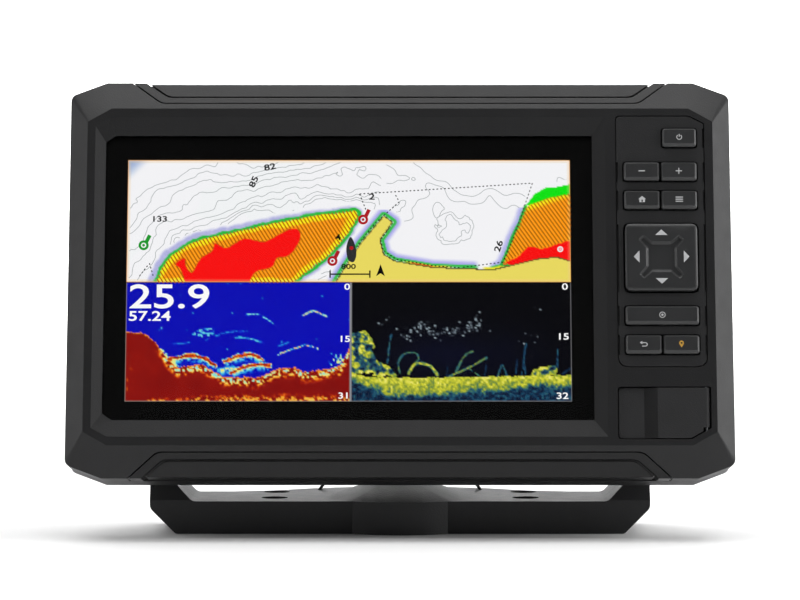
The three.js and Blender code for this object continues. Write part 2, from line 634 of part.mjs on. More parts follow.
// ---------------------------------------------------------------- bail mount
function bail() {
  const { halfW, inner, depth, floor, chamfer, armR } = BAIL;
  const top = PIVOT.z + armR + 1;
  const rise = 9.8; // the inner corners slope up to the arms
  const u = rounded(
    [
      [halfW - chamfer, 0], [halfW, chamfer], [halfW, top], [inner, top], [inner, floor + rise],
      [inner - rise, floor], [-inner + rise, floor], [-inner, floor + rise], [-inner, top],
      [-halfW, top], [-halfW, chamfer], [-halfW + chamfer, 0],
    ],
    [2, 3, 0, 0, 3, 3, 3, 3, 0, 0, 3, 2],
  );
  const half = depth / 2;
  const arch = circle(PIVOT.y, PIVOT.z, armR, 24, 0).slice(0, 13);
  // The front edge leans back above the plate, so that the head can nod forward.
  const armSide = [[-half, -1], [half, -1], [half, 17], ...arch, [-13, 24], [-half, floor + 0.4]];
  const frame = frontPrism(u, -half, half).intersect(sidePrism(armSide, -halfW - 1, halfW + 1));
  const hub = turned([[0, 0], [HUB.r, 0], [HUB.r, floor], [HUB.topR, HUB.top], [0, HUB.top]], "z", 40);
  // The underside is cored out, around screw bosses and ribs.
  const boss = (x, y) => planPrism(circle(x, y, 7.4, 16), 0, floor);
  const holes = [-1, 1].flatMap((s) => SCREW_HOLE.rows.map((y) => [s * SCREW_HOLE.x, y]));
  const cores = [-1, 1].map((s) => {
    const [a, b] = side(s, 30, 74);
    return cut(block(a, b, -17.3, 17.3, -1, 7.6), block(a, b, -1.2, 1.2, -1, 8), ...holes.map(([x, y]) => boss(x, y)));
  });
  const hubCore = cut(
    planPrism(circle(0, 0, 22, 32), -1, 8),
    planPrism(circle(0, 0, 7, 20), -1, 9),
    block(-30, 30, -1.2, 1.2, -1, 9),
    block(-1.2, 1.2, -30, 30, -1, 9),
  );
  // Behind the hub the plate swells back, cored on both sides of a middle rib.
  const swell = [...REAR_PAD, ...REAR_PAD.map(([x, y]) => [-x, y]).reverse(), [-62, 10], [62, 10]];
  const rearPad = planPrism(swell, 0, floor);
  const rearCores = [-1, 1].map((s) => {
    const [a, b] = side(s, 3, 24);
    return block(a, b, 28.5, 34.5, -1, 8);
  });
  const tabs = [-1, 1].map((s) => {
    const slant = [[30.4, floor - 1], [27, 15], [25.8, 15], [29.2, floor - 1]].map(([x, z]) => [s * x, z]);
    return frontPrism(s < 0 ? slant.reverse() : slant, 27, 31);
  });
  const bores = holes.flatMap(([x, y]) => [
    planPrism(circle(x, y, SCREW_HOLE.r, 16), -1, floor + 1),
    planPrism(circle(x, y, SCREW_HOLE.headR, 20), floor - 2.2, floor + 1),
  ]);
  const pivotHole = rod("x", 3.5, -100, 100, 16).translate([0, PIVOT.y, PIVOT.z]);
  return cut(join([frame, hub, rearPad, ...tabs]), ...cores, ...rearCores, hubCore, ...bores, pivotHole);
}

function clampParts() {
  return SIDES.flatMap(([name, s]) => {
    const at = [0, PIVOT.y, PIVOT.z];
    const [w0, w1] = side(s, CRADLE.halfW + GAP, BAIL.inner - GAP);
    const washer = cut(rod("x", 12, w0, w1, 24), rod("x", 4, w0 - 1, w1 + 1, 16));
    return [piece(`friction_washer_${name}`, washer, "rubber", at)];
  });
}

// Five-lobed clamping knob with its steel stud, drawn pointing to the right.
function knobParts() {
  const lobes = 5;
  const grip = Array.from({ length: 50 }, (_, i) => {
    const a = (i / 50) * Math.PI * 2;
    const r = KNOB.r - 1.3 + 1.3 * Math.cos(lobes * a);
    return [r * Math.cos(a), r * Math.sin(a)];
  });
  const shrink = (k) => grip.map(([a, b]) => [a * k, b * k]);
  const ring = (outline, x) => outline.map(([a, b]) => [x, a, b]);
  const body = loft([
    ring(shrink(0.9), KNOB.start + 4), ring(grip, KNOB.start + 5.5), ring(grip, KNOB.end - 1.6), ring(shrink(0.9), KNOB.end),
  ]);
  const collar = rod("x", 10.5, KNOB.start, KNOB.start + 5, 24);
  const dished = turned([[0, KNOB.end - 1.4], [8.5, KNOB.end - 1.4], [9.5, KNOB.end + 1], [0, KNOB.end + 1]], "x", 24);
  const right = cut(join([body, collar]), rod("x", 3.35, KNOB.start - 1, 102, 16), dished);
  const stud = rod("x", 3, CHEEK.inner + 0.8, 101.6, 16);
  return SIDES.flatMap(([name, s]) => {
    const turn = (b) => (s < 0 ? b.rotate([0, 0, 180]) : b);
    const at = [0, HEAD_PIVOT.y, HEAD_PIVOT.z];
    return [
      piece(`knob_${name}`, turn(right), "mount", at),
      piece(`knob_stud_${name}`, turn(stud), "metal", at),
    ];
  });
}

// ---------------------------------------------------------------- assembly
const head = new THREE.Group();
head.add(
  piece("front_bezel", bezel(), "housing"),
  piece("top_trim_cap", trimCap(1), "trim"),
  piece("bottom_trim_cap", trimCap(-1), "trim"),
  ...screenParts(),
  ...keypadParts(),
  ...doorParts(),
  piece("rear_housing", rearHousing(), "housing"),
  ...innerParts(),
  piece("cradle", cradle(), "mount"),
  ...latchParts(),
  ...inserts(),
  ...knobParts(),
);
head.position.set(0, -HEAD_PIVOT.y, -HEAD_PIVOT.z);

const leaning = new THREE.Group();
leaning.add(head);
leaning.rotation.x = -TILT;
leaning.position.set(0, PIVOT.y, PIVOT.z);

const fishFinder = new THREE.Group();
fishFinder.add(leaning, piece("bail_mount", bail(), "mount"), ...clampParts());

export default fishFinder;
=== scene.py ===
"""Looks of the fish finder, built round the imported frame. Metres, +Z up, screen facing -Y."""

import json
import math

import bpy
import numpy as np
from mathutils import Matrix, Vector
from mathutils.geometry import tessellate_polygon


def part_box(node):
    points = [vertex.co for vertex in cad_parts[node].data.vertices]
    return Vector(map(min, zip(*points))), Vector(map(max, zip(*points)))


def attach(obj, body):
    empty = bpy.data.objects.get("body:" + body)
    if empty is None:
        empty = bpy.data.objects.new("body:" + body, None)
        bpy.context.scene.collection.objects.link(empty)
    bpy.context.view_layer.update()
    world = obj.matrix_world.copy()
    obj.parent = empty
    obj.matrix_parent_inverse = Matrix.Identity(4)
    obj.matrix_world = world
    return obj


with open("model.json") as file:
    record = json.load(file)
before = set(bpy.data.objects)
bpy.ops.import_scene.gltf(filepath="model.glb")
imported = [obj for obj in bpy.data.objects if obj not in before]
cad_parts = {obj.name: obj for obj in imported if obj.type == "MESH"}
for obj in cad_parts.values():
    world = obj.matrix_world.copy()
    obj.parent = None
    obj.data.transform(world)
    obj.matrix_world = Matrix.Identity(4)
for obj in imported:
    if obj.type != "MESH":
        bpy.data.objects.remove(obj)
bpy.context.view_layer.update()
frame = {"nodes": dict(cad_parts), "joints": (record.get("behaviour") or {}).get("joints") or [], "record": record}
NODES = frame["nodes"]
JOINTS = {joint["name"]: joint for joint in frame["joints"]}

# ---------------------------------------------------------------- sizes, in mm in the head's frame
MM = 0.001
ROCKER_CENTRE = Vector((90.35, 0.5, 6.2))
KEY_X = 90.35
KEY_FACE = -4.5
ROCKER_FACE = -5.0
INK = 0.04  # how far printed marks stand on a surface
MARK_RISE = 0.15  # how far a key's mark sits above the key's middle
PANEL = {"x": -17.8, "z": -0.4, "w": 154.1, "h": 85.9}
GLASS = {"x": -17.8, "z": -0.1, "w": 171.0, "h": 102.6, "back": 2.1}
SPLIT_Z = 43.7  # depth of the chart pane below the panel's top edge
SPLIT_X = 77.6  # width of the left sonar pane
GUTTER = 0.2  # half the gap between the panes
PIXEL = 0.4  # grid step of the pictures
PICTURE_Y = 2.42  # depths of the lit layers, each a little nearer the glass
LINE_Y = 2.36
DASH_Y = 2.33
MARK_Y = 2.28
SEAT_Y = 2.24
PLATE = 0.04  # thickness of a picture's plate
FILM = 0.02  # thickness of the marks over it
DIGIT_WIDTH = 1.38  # how much wider the screen numbers are than the plain font
FONT_SIZE = 1.38  # the font's size for numbers one unit high
SEED = 7
DOOR_SHADE_BAND = {"x": 86.1, "w": 4.6}  # where the card door's band is painted darker: painted shade for its facet sloping away from the light


def head_matrix():
    """From the head's frame in mm to the row frame in metres, read off the frame's own joints."""
    out = Vector(JOINTS["head_release"]["axis"]).normalized()
    up = Vector(JOINTS["door_swing"]["axis"]).normalized()
    turn = Matrix((up.cross(out), -out, up)).transposed()
    origin = Vector(JOINTS["rocker_up_down"]["pos_m"]) - turn @ ROCKER_CENTRE * MM
    return Matrix.Translation(origin) @ turn.to_4x4() @ Matrix.Scale(MM, 4)


HEAD = head_matrix()


# ---------------------------------------------------------------- materials
def linear(code):
    """A colour written as RRGGBB, as linear numbers."""
    parts = [int(code[i : i + 2], 16) / 255 for i in (0, 2, 4)]
    lit = [c / 12.92 if c <= 0.04045 else ((c + 0.055) / 1.055) ** 2.4 for c in parts]
    return (*lit, 1.0)


class Tree:
    """A material's node tree with short calls for what is used here."""

    def __init__(self, name, **values):
        self.material = bpy.data.materials.new(name)
        self.material.use_nodes = True
        self.nodes = self.material.node_tree.nodes
        self.links = self.material.node_tree.links
        self.shader = self.nodes["Principled BSDF"]
        for socket, value in values.items():
            self.shader.inputs[socket.replace("_", " ")].default_value = value
        self.place = self.nodes.new("ShaderNodeTexCoord").outputs["Object"]

    def add(self, kind, inputs=(), **settings):
        """A new node, its sockets linked or set, and its settings."""
        node = self.nodes.new("ShaderNode" + kind)
        for name, value in settings.items():
            setattr(node, name, value)
        for name, value in dict(inputs).items():
            if isinstance(value, bpy.types.NodeSocket):
                self.links.new(value, node.inputs[name])
            else:
                node.inputs[name].default_value = value
        return node

    def stretched(self, scale):
        """The object's own places, scaled by a different amount along each axis."""
        return self.add("Mapping", {"Vector": self.place, "Scale": scale}).outputs[0]

    def noise(self, scale, detail=2.0, place=None):
        """Smooth noise from 0 to 1."""
        inputs = {"Vector": place or self.place, "Scale": scale, "Detail": detail}
        return self.add("TexNoise", inputs).outputs["Fac"]

    def cells(self, scale):
        """Distance to the nearest of scattered points: a pebbled pattern."""
        return self.add("TexVoronoi", {"Vector": self.place, "Scale": scale}).outputs["Distance"]

    def ranged(self, value, low, high):
        """A value from 0 to 1 spread over low to high."""
        return self.add("MapRange", {"Value": value, "To Min": low, "To Max": high}).outputs[0]

    def mixed(self, factor, first, second):
        """A colour between two colours or colour sockets."""
        node = self.add("Mix", {"Factor": factor}, data_type="RGBA")
        for socket, colour in ((node.inputs[6], first), (node.inputs[7], second)):
            if isinstance(colour, bpy.types.NodeSocket):
                self.links.new(colour, socket)
            else:
                socket.default_value = colour
        return node.outputs[2]

    def to_shader(self, socket, value):
        self.links.new(value, self.shader.inputs[socket])

    def bump(self, height, distance):
        node = self.add("Bump", {"Height": height, "Distance": distance, "Strength": 1.0})
        self.to_shader("Normal", node.outputs[0])


def grained(name, dark, light, rough, grain=2600.0, depth=0.00003, gloss=0.34):
    """Moulded plastic or rubber: faint mottling, uneven sheen and a fine eroded grain."""
    tree = Tree(name)
    tree.shader.inputs["Specular IOR Level"].default_value = gloss
    tree.to_shader("Base Color", tree.mixed(tree.noise(55, 4), linear(dark), linear(light)))
    tree.to_shader("Roughness", tree.ranged(tree.noise(190, 3), rough - 0.06, rough + 0.07))
    pebbles = tree.cells(grain)
    height = tree.add("Math", {0: pebbles, 1: tree.noise(grain * 0.6, 3)}, operation="ADD").outputs[0]
    tree.bump(height, depth)
    return tree


def moulded(*look, **more):
    return grained(*look, **more).material


def door_plastic():
    """The card door: the plain plastic with painted shade on the band across it, darker as its sloped facet looks
    facing away from the light.
    """
    tree = grained("door_plastic", "252526", "2a2a2b", 0.44, gloss=0.5)
    middle = DOOR_SHADE_BAND["x"] * MM - NODES["card_door"].matrix_world.translation.x
    across = tree.add("SeparateXYZ", {0: tree.place}).outputs["X"]
    shade_band_test = {0: across, 1: middle, 2: DOOR_SHADE_BAND["w"] * MM / 2}
    in_painted_shade = tree.add("Math", shade_band_test, operation="COMPARE").outputs[0]
    plain = tree.shader.inputs["Base Color"].links[0].from_socket
    # painted shade: the band is coloured near black in place of the shade on its sloped facet
    tree.to_shader("Base Color", tree.mixed(in_painted_shade, plain, linear("0f0f10")))
    return tree.material


def turned_metal(name, dark, light, rough, stretch):
    """Machined or drawn metal: fine lines along one direction over a metallic base."""
    tree = Tree(name, Metallic=1.0)
    lines = tree.noise(60, 5, tree.stretched(stretch))
    tree.to_shader("Base Color", tree.mixed(lines, linear(dark), linear(light)))
    tree.to_shader("Roughness", tree.ranged(lines, rough - 0.08, rough + 0.12))
    tree.bump(lines, 0.00002)
    return tree.material


def circuit_board():
    """Green lacquer with paler tracks."""
    tree = Tree("circuit_board", Coat_Weight=0.4)
    tracks = tree.add("TexBrick", {"Vector": tree.place, "Scale": 240.0, "Mortar Size": 0.03})
    tracks.inputs["Color1"].default_value = linear("124a2b")
    tracks.inputs["Color2"].default_value = linear("175633")
    tracks.inputs["Mortar"].default_value = linear("2d7a4b")
    tree.to_shader("Base Color", tracks.outputs["Color"])
    tree.to_shader("Roughness", tree.ranged(tree.noise(400), 0.35, 0.5))
    return tree.material


def picture_light(name):
    """A lit picture whose colours are stored on the mesh."""
    tree = Tree(name, Roughness=0.3, Emission_Strength=1.0, Base_Color=(0, 0, 0, 1))
    tree.shader.inputs["Specular IOR Level"].default_value = 0.0
    colours = tree.add("Attribute", attribute_name="picture").outputs["Color"]
    tree.to_shader("Emission Color", colours)
    return tree.material


def glow(name, code):
    """A lit mark on the screen."""
    tree = Tree(name, Roughness=0.4, Base_Color=(0, 0, 0, 1), Emission_Strength=1.0)
    tree.shader.inputs["Specular IOR Level"].default_value = 0.0
    flicker = tree.noise(900, 1)
    shade = tuple(c * 0.96 for c in linear(code)[:3]) + (1.0,)
    tree.to_shader("Emission Color", tree.mixed(flicker, shade, linear(code)))
    return tree.material


def clear_glass():
    """Cover glass with a thin matt coat, over the lit panel."""
    tree = Tree("clear_glass", Base_Color=(1, 1, 1, 1), Roughness=0.0, IOR=1.02)
    tree.shader.inputs["Coat Weight"].default_value = 0.5
    tree.shader.inputs["Coat Roughness"].default_value = 0.14
    tree.shader.inputs["Transmission Weight"].default_value = 1.0
    tree.bump(tree.noise(14, 2), 0.000004)
    return tree.material


def ink(name, code, rough=0.5):
    """Printing on a key or the pad."""
    tree = Tree(name)
    dark = tuple(c * 0.86 for c in linear(code)[:3]) + (1.0,)
    tree.to_shader("Base Color", tree.mixed(tree.noise(700, 3), dark, linear(code)))
    tree.to_shader("Roughness", tree.ranged(tree.noise(300), rough - 0.05, rough + 0.05))
    return tree.material


MATERIALS = {
    "housing": moulded("housing_plastic", "1b1b1c", "202021", 0.46),
    "trim": moulded("trim_plastic", "0e0e0f", "121213", 0.42),
    "keypad": moulded("keypad_plastic", "202021", "242425", 0.55, 3200.0),
    "key": moulded("key_plastic", "222223", "292a2b", 0.42, 3600.0, 0.00002, 0.6),
    "rubber": moulded("black_rubber", "0d0d0e", "121213", 0.75, 1800.0, 0.00004),
    "mount": moulded("mount_plastic", "2a2a2b", "2f2f30", 0.52, 1500.0, 0.00005, 0.28),
    "steel": turned_metal("drawn_steel", "8f9194", "c9cbce", 0.3, (8, 60, 60)),
    "aluminium": turned_metal("sheet_aluminium", "a9abae", "d3d5d8", 0.38, (6, 50, 50)),
    "brass": turned_metal("turned_brass", "9c7a34", "cba75b", 0.3, (60, 8, 60)),
    "board": circuit_board(),
    "ceramic": moulded("fired_ceramic", "b9b19b", "d0c8b2", 0.5, 900.0, 0.00004),
    "cover_glass": clear_glass(),
    "screen": moulded("panel_black", "020202", "040405", 0.25, 4000.0, 0.000005, 0.0),
}
BLACK_PRINT = moulded("black_print", "010101", "030303", 0.3, 4000.0, 0.000002, 0.0)
DOOR = door_plastic()
PALE_INK = ink("pale_ink", "c9cacb")
AMBER_INK = ink("amber_ink", "c99a3e")
PICTURE = picture_light("screen_picture")
LINE_GREY = glow("screen_line_grey", "a2a9a9")
HATCH_BROWN = glow("screen_hatch_brown", "b05c00")
INK_BLACK = glow("screen_black", "050508")
BUOY_GREEN = glow("screen_buoy_green", "1c9a2c")
BUOY_RED = glow("screen_buoy_red", "b01820")
BOAT_GREY = glow("screen_boat_grey", "2c2e30")
PALE_GLOW = glow("screen_pale", "f2e8e8")
WHITE_GLOW = glow("screen_white", "ffffff")
DIVIDER_GREY = glow("screen_divider_grey", "8a8c94")


# ---------------------------------------------------------------- the frame's own nodes
def soft_edge_nodes(crease):
    """Geometry nodes that drop the imported normals and shade smooth but for edges past a crease."""
    group = bpy.data.node_groups.new(f"smooth_but_sharp_{crease:.0f}", "GeometryNodeTree")
    group.interface.new_socket("Geometry", in_out="INPUT", socket_type="NodeSocketGeometry")
    group.interface.new_socket("Geometry", in_out="OUTPUT", socket_type="NodeSocketGeometry")
    add = group.nodes.new
    start, end = add("NodeGroupInput"), add("NodeGroupOutput")
    drop = add("GeometryNodeRemoveAttribute")
    drop.inputs["Name"].default_value = "custom_normal"
    faces = add("GeometryNodeSetShadeSmooth")
    edges = add("GeometryNodeSetShadeSmooth")
    edges.domain = "EDGE"
    edges.inputs["Shade Smooth"].default_value = False
    angle = add("GeometryNodeInputMeshEdgeAngle")
    sharp = add("FunctionNodeCompare")
    sharp.operation = "GREATER_THAN"
    sharp.inputs[1].default_value = math.radians(crease)
    link = group.links.new
    link(start.outputs[0], drop.inputs["Geometry"])
    link(drop.outputs[0], faces.inputs["Geometry"])
    link(faces.outputs[0], edges.inputs["Geometry"])
    link(angle.outputs["Unsigned Angle"], sharp.inputs[0])
    link(sharp.outputs[0], edges.inputs["Selection"])
    link(edges.outputs[0], end.inputs[0])
    return group


WIDE_CREASE = 34
FINE_CREASE = 13.5  # degrees; the head's shell has shallow creases that must stay crisp
BEVEL_FROM = 30
SHADING = {crease: soft_edge_nodes(crease) for crease in (WIDE_CREASE, FINE_CREASE)}
FINE_NODES = ("front_bezel", "top_trim_cap", "bottom_trim_cap", "card_door")
EDGE_WIDTH = {"front_bezel": 0.45, "rear_housing": 0.5, "bail_mount": 0.6, "cradle": 0.5, "rocker_pad": 0.3}
PLAIN_EDGE = 0.22
THIN_NODES = ("latch_spring",)
PLAIN_NODES = ("cradle",)  # its long flats shade badly when their triangles are joined


def round_edges(piece, width, crease):
    """Rounds the hard edges of a faceted solid by modifiers alone."""
    weld = piece.modifiers.new("weld", "WELD")
    weld.merge_threshold = 0.000002
    if piece.name not in PLAIN_NODES:
        flat = piece.modifiers.new("flat", "DECIMATE")
        flat.decimate_type = "DISSOLVE"
        flat.angle_limit = math.radians(0.6)
    piece.modifiers.new("shade", "NODES").node_group = SHADING[crease]
    bevel = piece.modifiers.new("bevel", "BEVEL")
    bevel.width = width * MM
    bevel.segments = 2
    bevel.limit_method = "ANGLE"
    bevel.angle_limit = math.radians(BEVEL_FROM)
    bevel.use_clamp_overlap = True
    bevel.miter_outer = "MITER_ARC"
    even = piece.modifiers.new("even", "WEIGHTED_NORMAL")
    even.keep_sharp = crease < BEVEL_FROM
    even.weight = 80


def dress_frame():
    """Material and soft edges for every node of the frame."""
    slots = {part["node"]: part["material_slot"] for part in frame["record"]["subparts"]}
    for name, node in NODES.items():
        for index in range(len(node.material_slots)):
            node.material_slots[index].material = DOOR if name == "card_door" else MATERIALS[slots[name]]
        if name not in THIN_NODES:
            crease = FINE_CREASE if name in FINE_NODES else WIDE_CREASE
            round_edges(node, EDGE_WIDTH.get(name, PLAIN_EDGE), crease)


dress_frame()


# ---------------------------------------------------------------- mesh helpers
def piece_from(name, points, faces, material, body="head"):
    """A piece from points in the head's frame, riding on a body."""
    mesh = bpy.data.meshes.new(name)
    mesh.from_pydata([HEAD @ Vector(p) for p in points], [], faces)
    mesh.materials.append(material)
    mesh.validate()
    piece = bpy.data.objects.new(name, mesh)
    bpy.context.scene.collection.objects.link(piece)
    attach(piece, body)
    return piece


def slab(outlines, front, back):
    """Points and faces of a plate: the first outline is its edge and the others are holes, as [x, z]."""
    area = lambda ring: sum(a[0] * b[1] - b[0] * a[1] for a, b in zip(ring, ring[1:] + ring[:1]))
    rings = [list(r) if (area(r) > 0) == (i == 0) else list(r)[::-1] for i, r in enumerate(outlines)]
    flat = [p for ring in rings for p in ring]
    count = len(flat)
    points = [(x, front, z) for x, z in flat] + [(x, back, z) for x, z in flat]
    faces = []
    for a, b, c in tessellate_polygon([[Vector((x, z, 0)) for x, z in ring] for ring in rings]):
        (ax, az), (bx, bz), (cx, cz) = flat[a], flat[b], flat[c]
        if (bx - ax) * (cz - az) - (cx - ax) * (bz - az) < 0:
            b, c = c, b
        faces.append((a, b, c))
        faces.append((a + count, c + count, b + count))
    start = 0
    for ring in rings:
        for i in range(len(ring)):
            a, b = start + i, start + (i + 1) % len(ring)
            faces.append((b, a, a + count, b + count))
        start += len(ring)
    return points, faces


def merged(parts):
    """Several (points, faces) pairs as one."""
    points, faces = [], []
    for more_points, more_faces in parts:
        faces += [tuple(i + len(points) for i in face) for face in more_faces]
        points += more_points
    return points, faces


def rectangle(cx, cz, w, h):
    right, left, top, bottom = cx + w / 2, cx - w / 2, cz + h / 2, cz - h / 2
    return [(right, bottom), (right, top), (left, top), (left, bottom)]


def arc(cx, cz, r, start, end, steps=24):
    turns = [math.radians(start + (end - start) * i / steps) for i in range(steps + 1)]
    return [(cx + r * math.cos(a), cz + r * math.sin(a)) for a in turns]


def stroke(path, width, closed=False):
    """Outline of a line of some width along a path."""
    points = [Vector(p) for p in path]
    count = len(points)
    left, right = [], []
    for i, p in enumerate(points):
        before = points[i - 1] if i or closed else p
        after = points[(i + 1) % count] if i + 1 < count or closed else p
        one = (p - before).normalized() if (p - before).length else (after - p).normalized()
        two = (after - p).normalized() if (after - p).length else one
        side = Vector((-(one + two).y, (one + two).x))
        side = side.normalized() if side.length > 1e-6 else Vector((-one.y, one.x))
        reach = width / 2 / max(0.5, side.dot(Vector((-one.y, one.x))))
        left.append(tuple(p + side * reach))
        right.append(tuple(p - side * reach))
    return [left, right] if closed else [left + right[::-1]]


# ---------------------------------------------------------------- marks on the keys
def mark_piece(name, shapes, face, centre, body, material=PALE_INK):
    """Printed shapes on a face, each shape an outline and its holes, placed round a centre."""
    cx, cz = centre
    placed = [[[(x + cx, z + cz) for x, z in ring] for ring in shape] for shape in shapes]
    points, faces = merged([slab(shape, face - INK, face + INK) for shape in placed])
    return piece_from(name, points, faces, material, body)


def key_centre(node):
    """Where a key's mark goes in the head's frame: the key's middle, raised by MARK_RISE."""
    low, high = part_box(node)
    middle = HEAD.inverted() @ ((Vector(low) + Vector(high)) / 2)
    return middle.x, middle.z + MARK_RISE


def key_marks():
    """Icons for the eight keys, round each key's centre, and four arrows on the pad."""
    bar = lambda z, w=2.6: [rectangle(0, z, w, 0.36)]
    house = [(0, 1.15), (-1.35, 0), (-0.95, 0), (-0.95, -1.05), (0.95, -1.05), (0.95, 0), (1.35, 0)]
    cross = [
        (-1.1, -0.17), (-0.17, -0.17), (-0.17, -1.1), (0.17, -1.1), (0.17, -0.17), (1.1, -0.17),
        (1.1, 0.17), (0.17, 0.17), (0.17, 1.1), (-0.17, 1.1), (-0.17, 0.17), (-1.1, 0.17),
    ]
    pin = arc(0, 0.3, 0.85, -35, 215) + [(0, -1.25)]
    hook = [(-0.7, 0.42)] + arc(0.45, -0.18, 0.6, 90, -90, 10) + [(-0.7, -0.78)]
    shapes = {
        "power": [stroke(arc(0, 0, 0.85, 125, 415), 0.28), [rectangle(0, 0.62, 0.3, 1.0)]],
        "minus": [bar(0, 2.2)],
        "plus": [[cross]],
        "home": [[house, rectangle(0, -0.55, 0.55, 0.8)]],
        "menu": [bar(0.75), bar(0), bar(-0.75)],
        "select": [stroke(arc(0, 0, 0.95, 0, 345, 23), 0.26, True), [arc(0, 0, 0.4, 0, 345, 15)]],
        "back": [stroke(hook, 0.3), [[(-0.6, 1.0), (-1.5, 0.42), (-0.6, -0.16)]]],
        "mark": [[pin, arc(0, 0.32, 0.34, 0, 330, 11)]],
    }
    for name, shape in shapes.items():
        colour = AMBER_INK if name == "mark" else PALE_INK
        mark_piece(f"{name}_icon", shape, KEY_FACE, key_centre(f"{name}_key"), f"{name}_button", colour)
    arrow = [(0, 9.6), (-2.15, 7.65), (2.15, 7.65)]
    arrows = []
    for turn in (0, math.pi / 2, math.pi, 1.5 * math.pi):
        c, s = math.cos(turn), math.sin(turn)
        arrows.append([[(x * c - z * s, x * s + z * c) for x, z in arrow]])
    mark_piece("rocker_arrows", arrows, ROCKER_FACE, (KEY_X, ROCKER_CENTRE.z), "rocker")


key_marks()

# ---------------------------------------------------------------- the picture on the screen
# Screen places are (across, down) in mm from the lit area's top left corner.
LIT_W, LIT_H = PANEL["w"], PANEL["h"]
CHART = (0.0, 0.0, LIT_W, SPLIT_Z)  # panes as left, top, right, bottom
SONAR = (0.0, SPLIT_Z + GUTTER, SPLIT_X, LIT_H)
SCAN = (SPLIT_X + 2 * GUTTER, SPLIT_Z + GUTTER, LIT_W, LIT_H)


def on_panel(x, y, depth):
    """A place on the screen as a point in the head's frame."""
    return (PANEL["x"] - LIT_W / 2 + x, depth, PANEL["z"] + LIT_H / 2 - y)


def curved(points, steps=5, closed=False):
    """A smooth curve through points (Catmull-Rom)."""
    count = len(points)
    out = []
    for i in range(count if closed else count - 1):
        ring = [points[(i + k) % count if closed else min(max(i + k, 0), count - 1)] for k in (-1, 0, 1, 2)]
        a, b, c, d = [np.array(p, float) for p in ring]
        for t in np.arange(steps) / steps:
            bend = (2 * a - 5 * b + 4 * c - d) * t * t + (3 * b - a - 3 * c + d) * t**3
            out.append(tuple((2 * b + (c - a) * t + bend) / 2))
    return out if closed else out + [tuple(points[-1])]


def noise_field(x, y, cell, seed, octaves=3):
    """Seeded smooth noise from 0 to 1 over arrays of places."""
    total, weight = np.zeros(x.shape), 0.0
    for octave in range(octaves):
        table = np.random.default_rng(SEED + seed * 10 + octave).random((128, 128))
        u, v = x / cell * 2**octave, y / cell * 2**octave
        i, j = np.floor(u).astype(int), np.floor(v).astype(int)
        s, t = u - i, v - j
        s, t = s * s * (3 - 2 * s), t * t * (3 - 2 * t)
        at = lambda a, b: table[(i + a) % 128, (j + b) % 128]
        value = (at(0, 0) * (1 - s) + at(1, 0) * s) * (1 - t) + (at(0, 1) * (1 - s) + at(1, 1) * s) * t
        total += value / 2**octave
        weight += 1 / 2**octave
    return total / weight


def distance_to(path, x, y, closed=False):
    """Distance from a path at each place."""
    best = np.full(x.shape, 1e9)
    for (ax, ay), (bx, by) in zip(path, path[1:] + path[:1] if closed else path[1:]):
        dx, dy = bx - ax, by - ay
        t = np.clip(((x - ax) * dx + (y - ay) * dy) / (dx * dx + dy * dy + 1e-9), 0, 1)
        best = np.minimum(best, np.hypot(x - ax - t * dx, y - ay - t * dy))
    return best


def inside(outline, x, y):
    """Which places lie inside an outline."""
    within = np.zeros(x.shape, bool)
    for (ax, ay), (bx, by) in zip(outline, outline[1:] + outline[:1]):
        if ay != by:
            within ^= ((ay > y) != (by > y)) & (x < (bx - ax) * (y - ay) / (by - ay) + ax)
    return within


def signed(outline, x, y, ragged=0.0, seed=1):
    """Distance from an outline, negative inside it, with a ragged edge if asked for."""
    far = distance_to(outline, x, y, True)
    return np.where(inside(outline, x, y), -far, far) + ragged * (noise_field(x, y, 2.2, seed) - 0.5)


def step_up(value, low, high):
    """Smooth rise from 0 at low to 1 at high."""
    t = np.clip((value - low) / (high - low), 0, 1)
    return t * t * (3 - 2 * t)


def band(value, low, high, soft=0.15):
    """1 between low and high, with soft ends."""
    return step_up(value, low - soft, low + soft) * (1 - step_up(value, high - soft, high + soft))


def paint(colours, mask, code):
    """Lays a colour over the picture where the mask is 1."""
    shade = np.array([int(code[i : i + 2], 16) / 255 for i in (0, 2, 4)])
    colours += (shade - colours) * np.clip(mask, 0, 1)[..., None]


def graded(value, stops):
    """Colours along a scale of (value, RRGGBB) stops."""
    places = [stop for stop, _ in stops]
    shades = [[int(code[i : i + 2], 16) / 255 for _, code in stops] for i in (0, 2, 4)]
    return np.stack([np.interp(value, places, shade) for shade in shades], -1)


def picture_grid(pane):
    """Arrays of places across and down a pane."""
    left, top, right, bottom = pane
    across = np.linspace(left, right, round((right - left) / PIXEL) + 1)
    down = np.linspace(top, bottom, round((bottom - top) / PIXEL) + 1)
    return np.meshgrid(across, down)


def picture_piece(name, x, y, colours):
    """A closed plate whose front is a fine grid with a colour at each point."""
    rows, cols = x.shape
    points = [on_panel(a, b, PICTURE_Y) for a, b in zip(x.ravel(), y.ravel())]
    corner = [0, cols - 1, rows * cols - 1, (rows - 1) * cols]
    base = len(points)
    points += [(points[i][0], PICTURE_Y + PLATE, points[i][2]) for i in corner]
    cells = [r * cols + c for r in range(rows - 1) for c in range(cols - 1)]
    faces = [(i, i + cols, i + cols + 1, i + 1) for i in cells]
    last = (rows - 1) * cols
    sides = [
        range(cols), range(cols - 1, rows * cols, cols),
        range(rows * cols - 1, last - 1, -1), range(last, -1, -cols),
    ]
    faces += [(*side, base + (k + 1) % 4, base + k) for k, side in enumerate(sides)]
    faces.append((base, base + 1, base + 2, base + 3))
    piece = piece_from(name, points, faces, PICTURE)
    lit = np.where(colours <= 0.04045, colours / 12.92, ((colours + 0.055) / 1.055) ** 2.4)
    table = np.ones((len(points), 4), np.float32)
    table[:base, :3] = lit.reshape(-1, 3)
    stored = piece.data.color_attributes.new("picture", "FLOAT_COLOR", "POINT")
    stored.data.foreach_set("color", table.ravel())


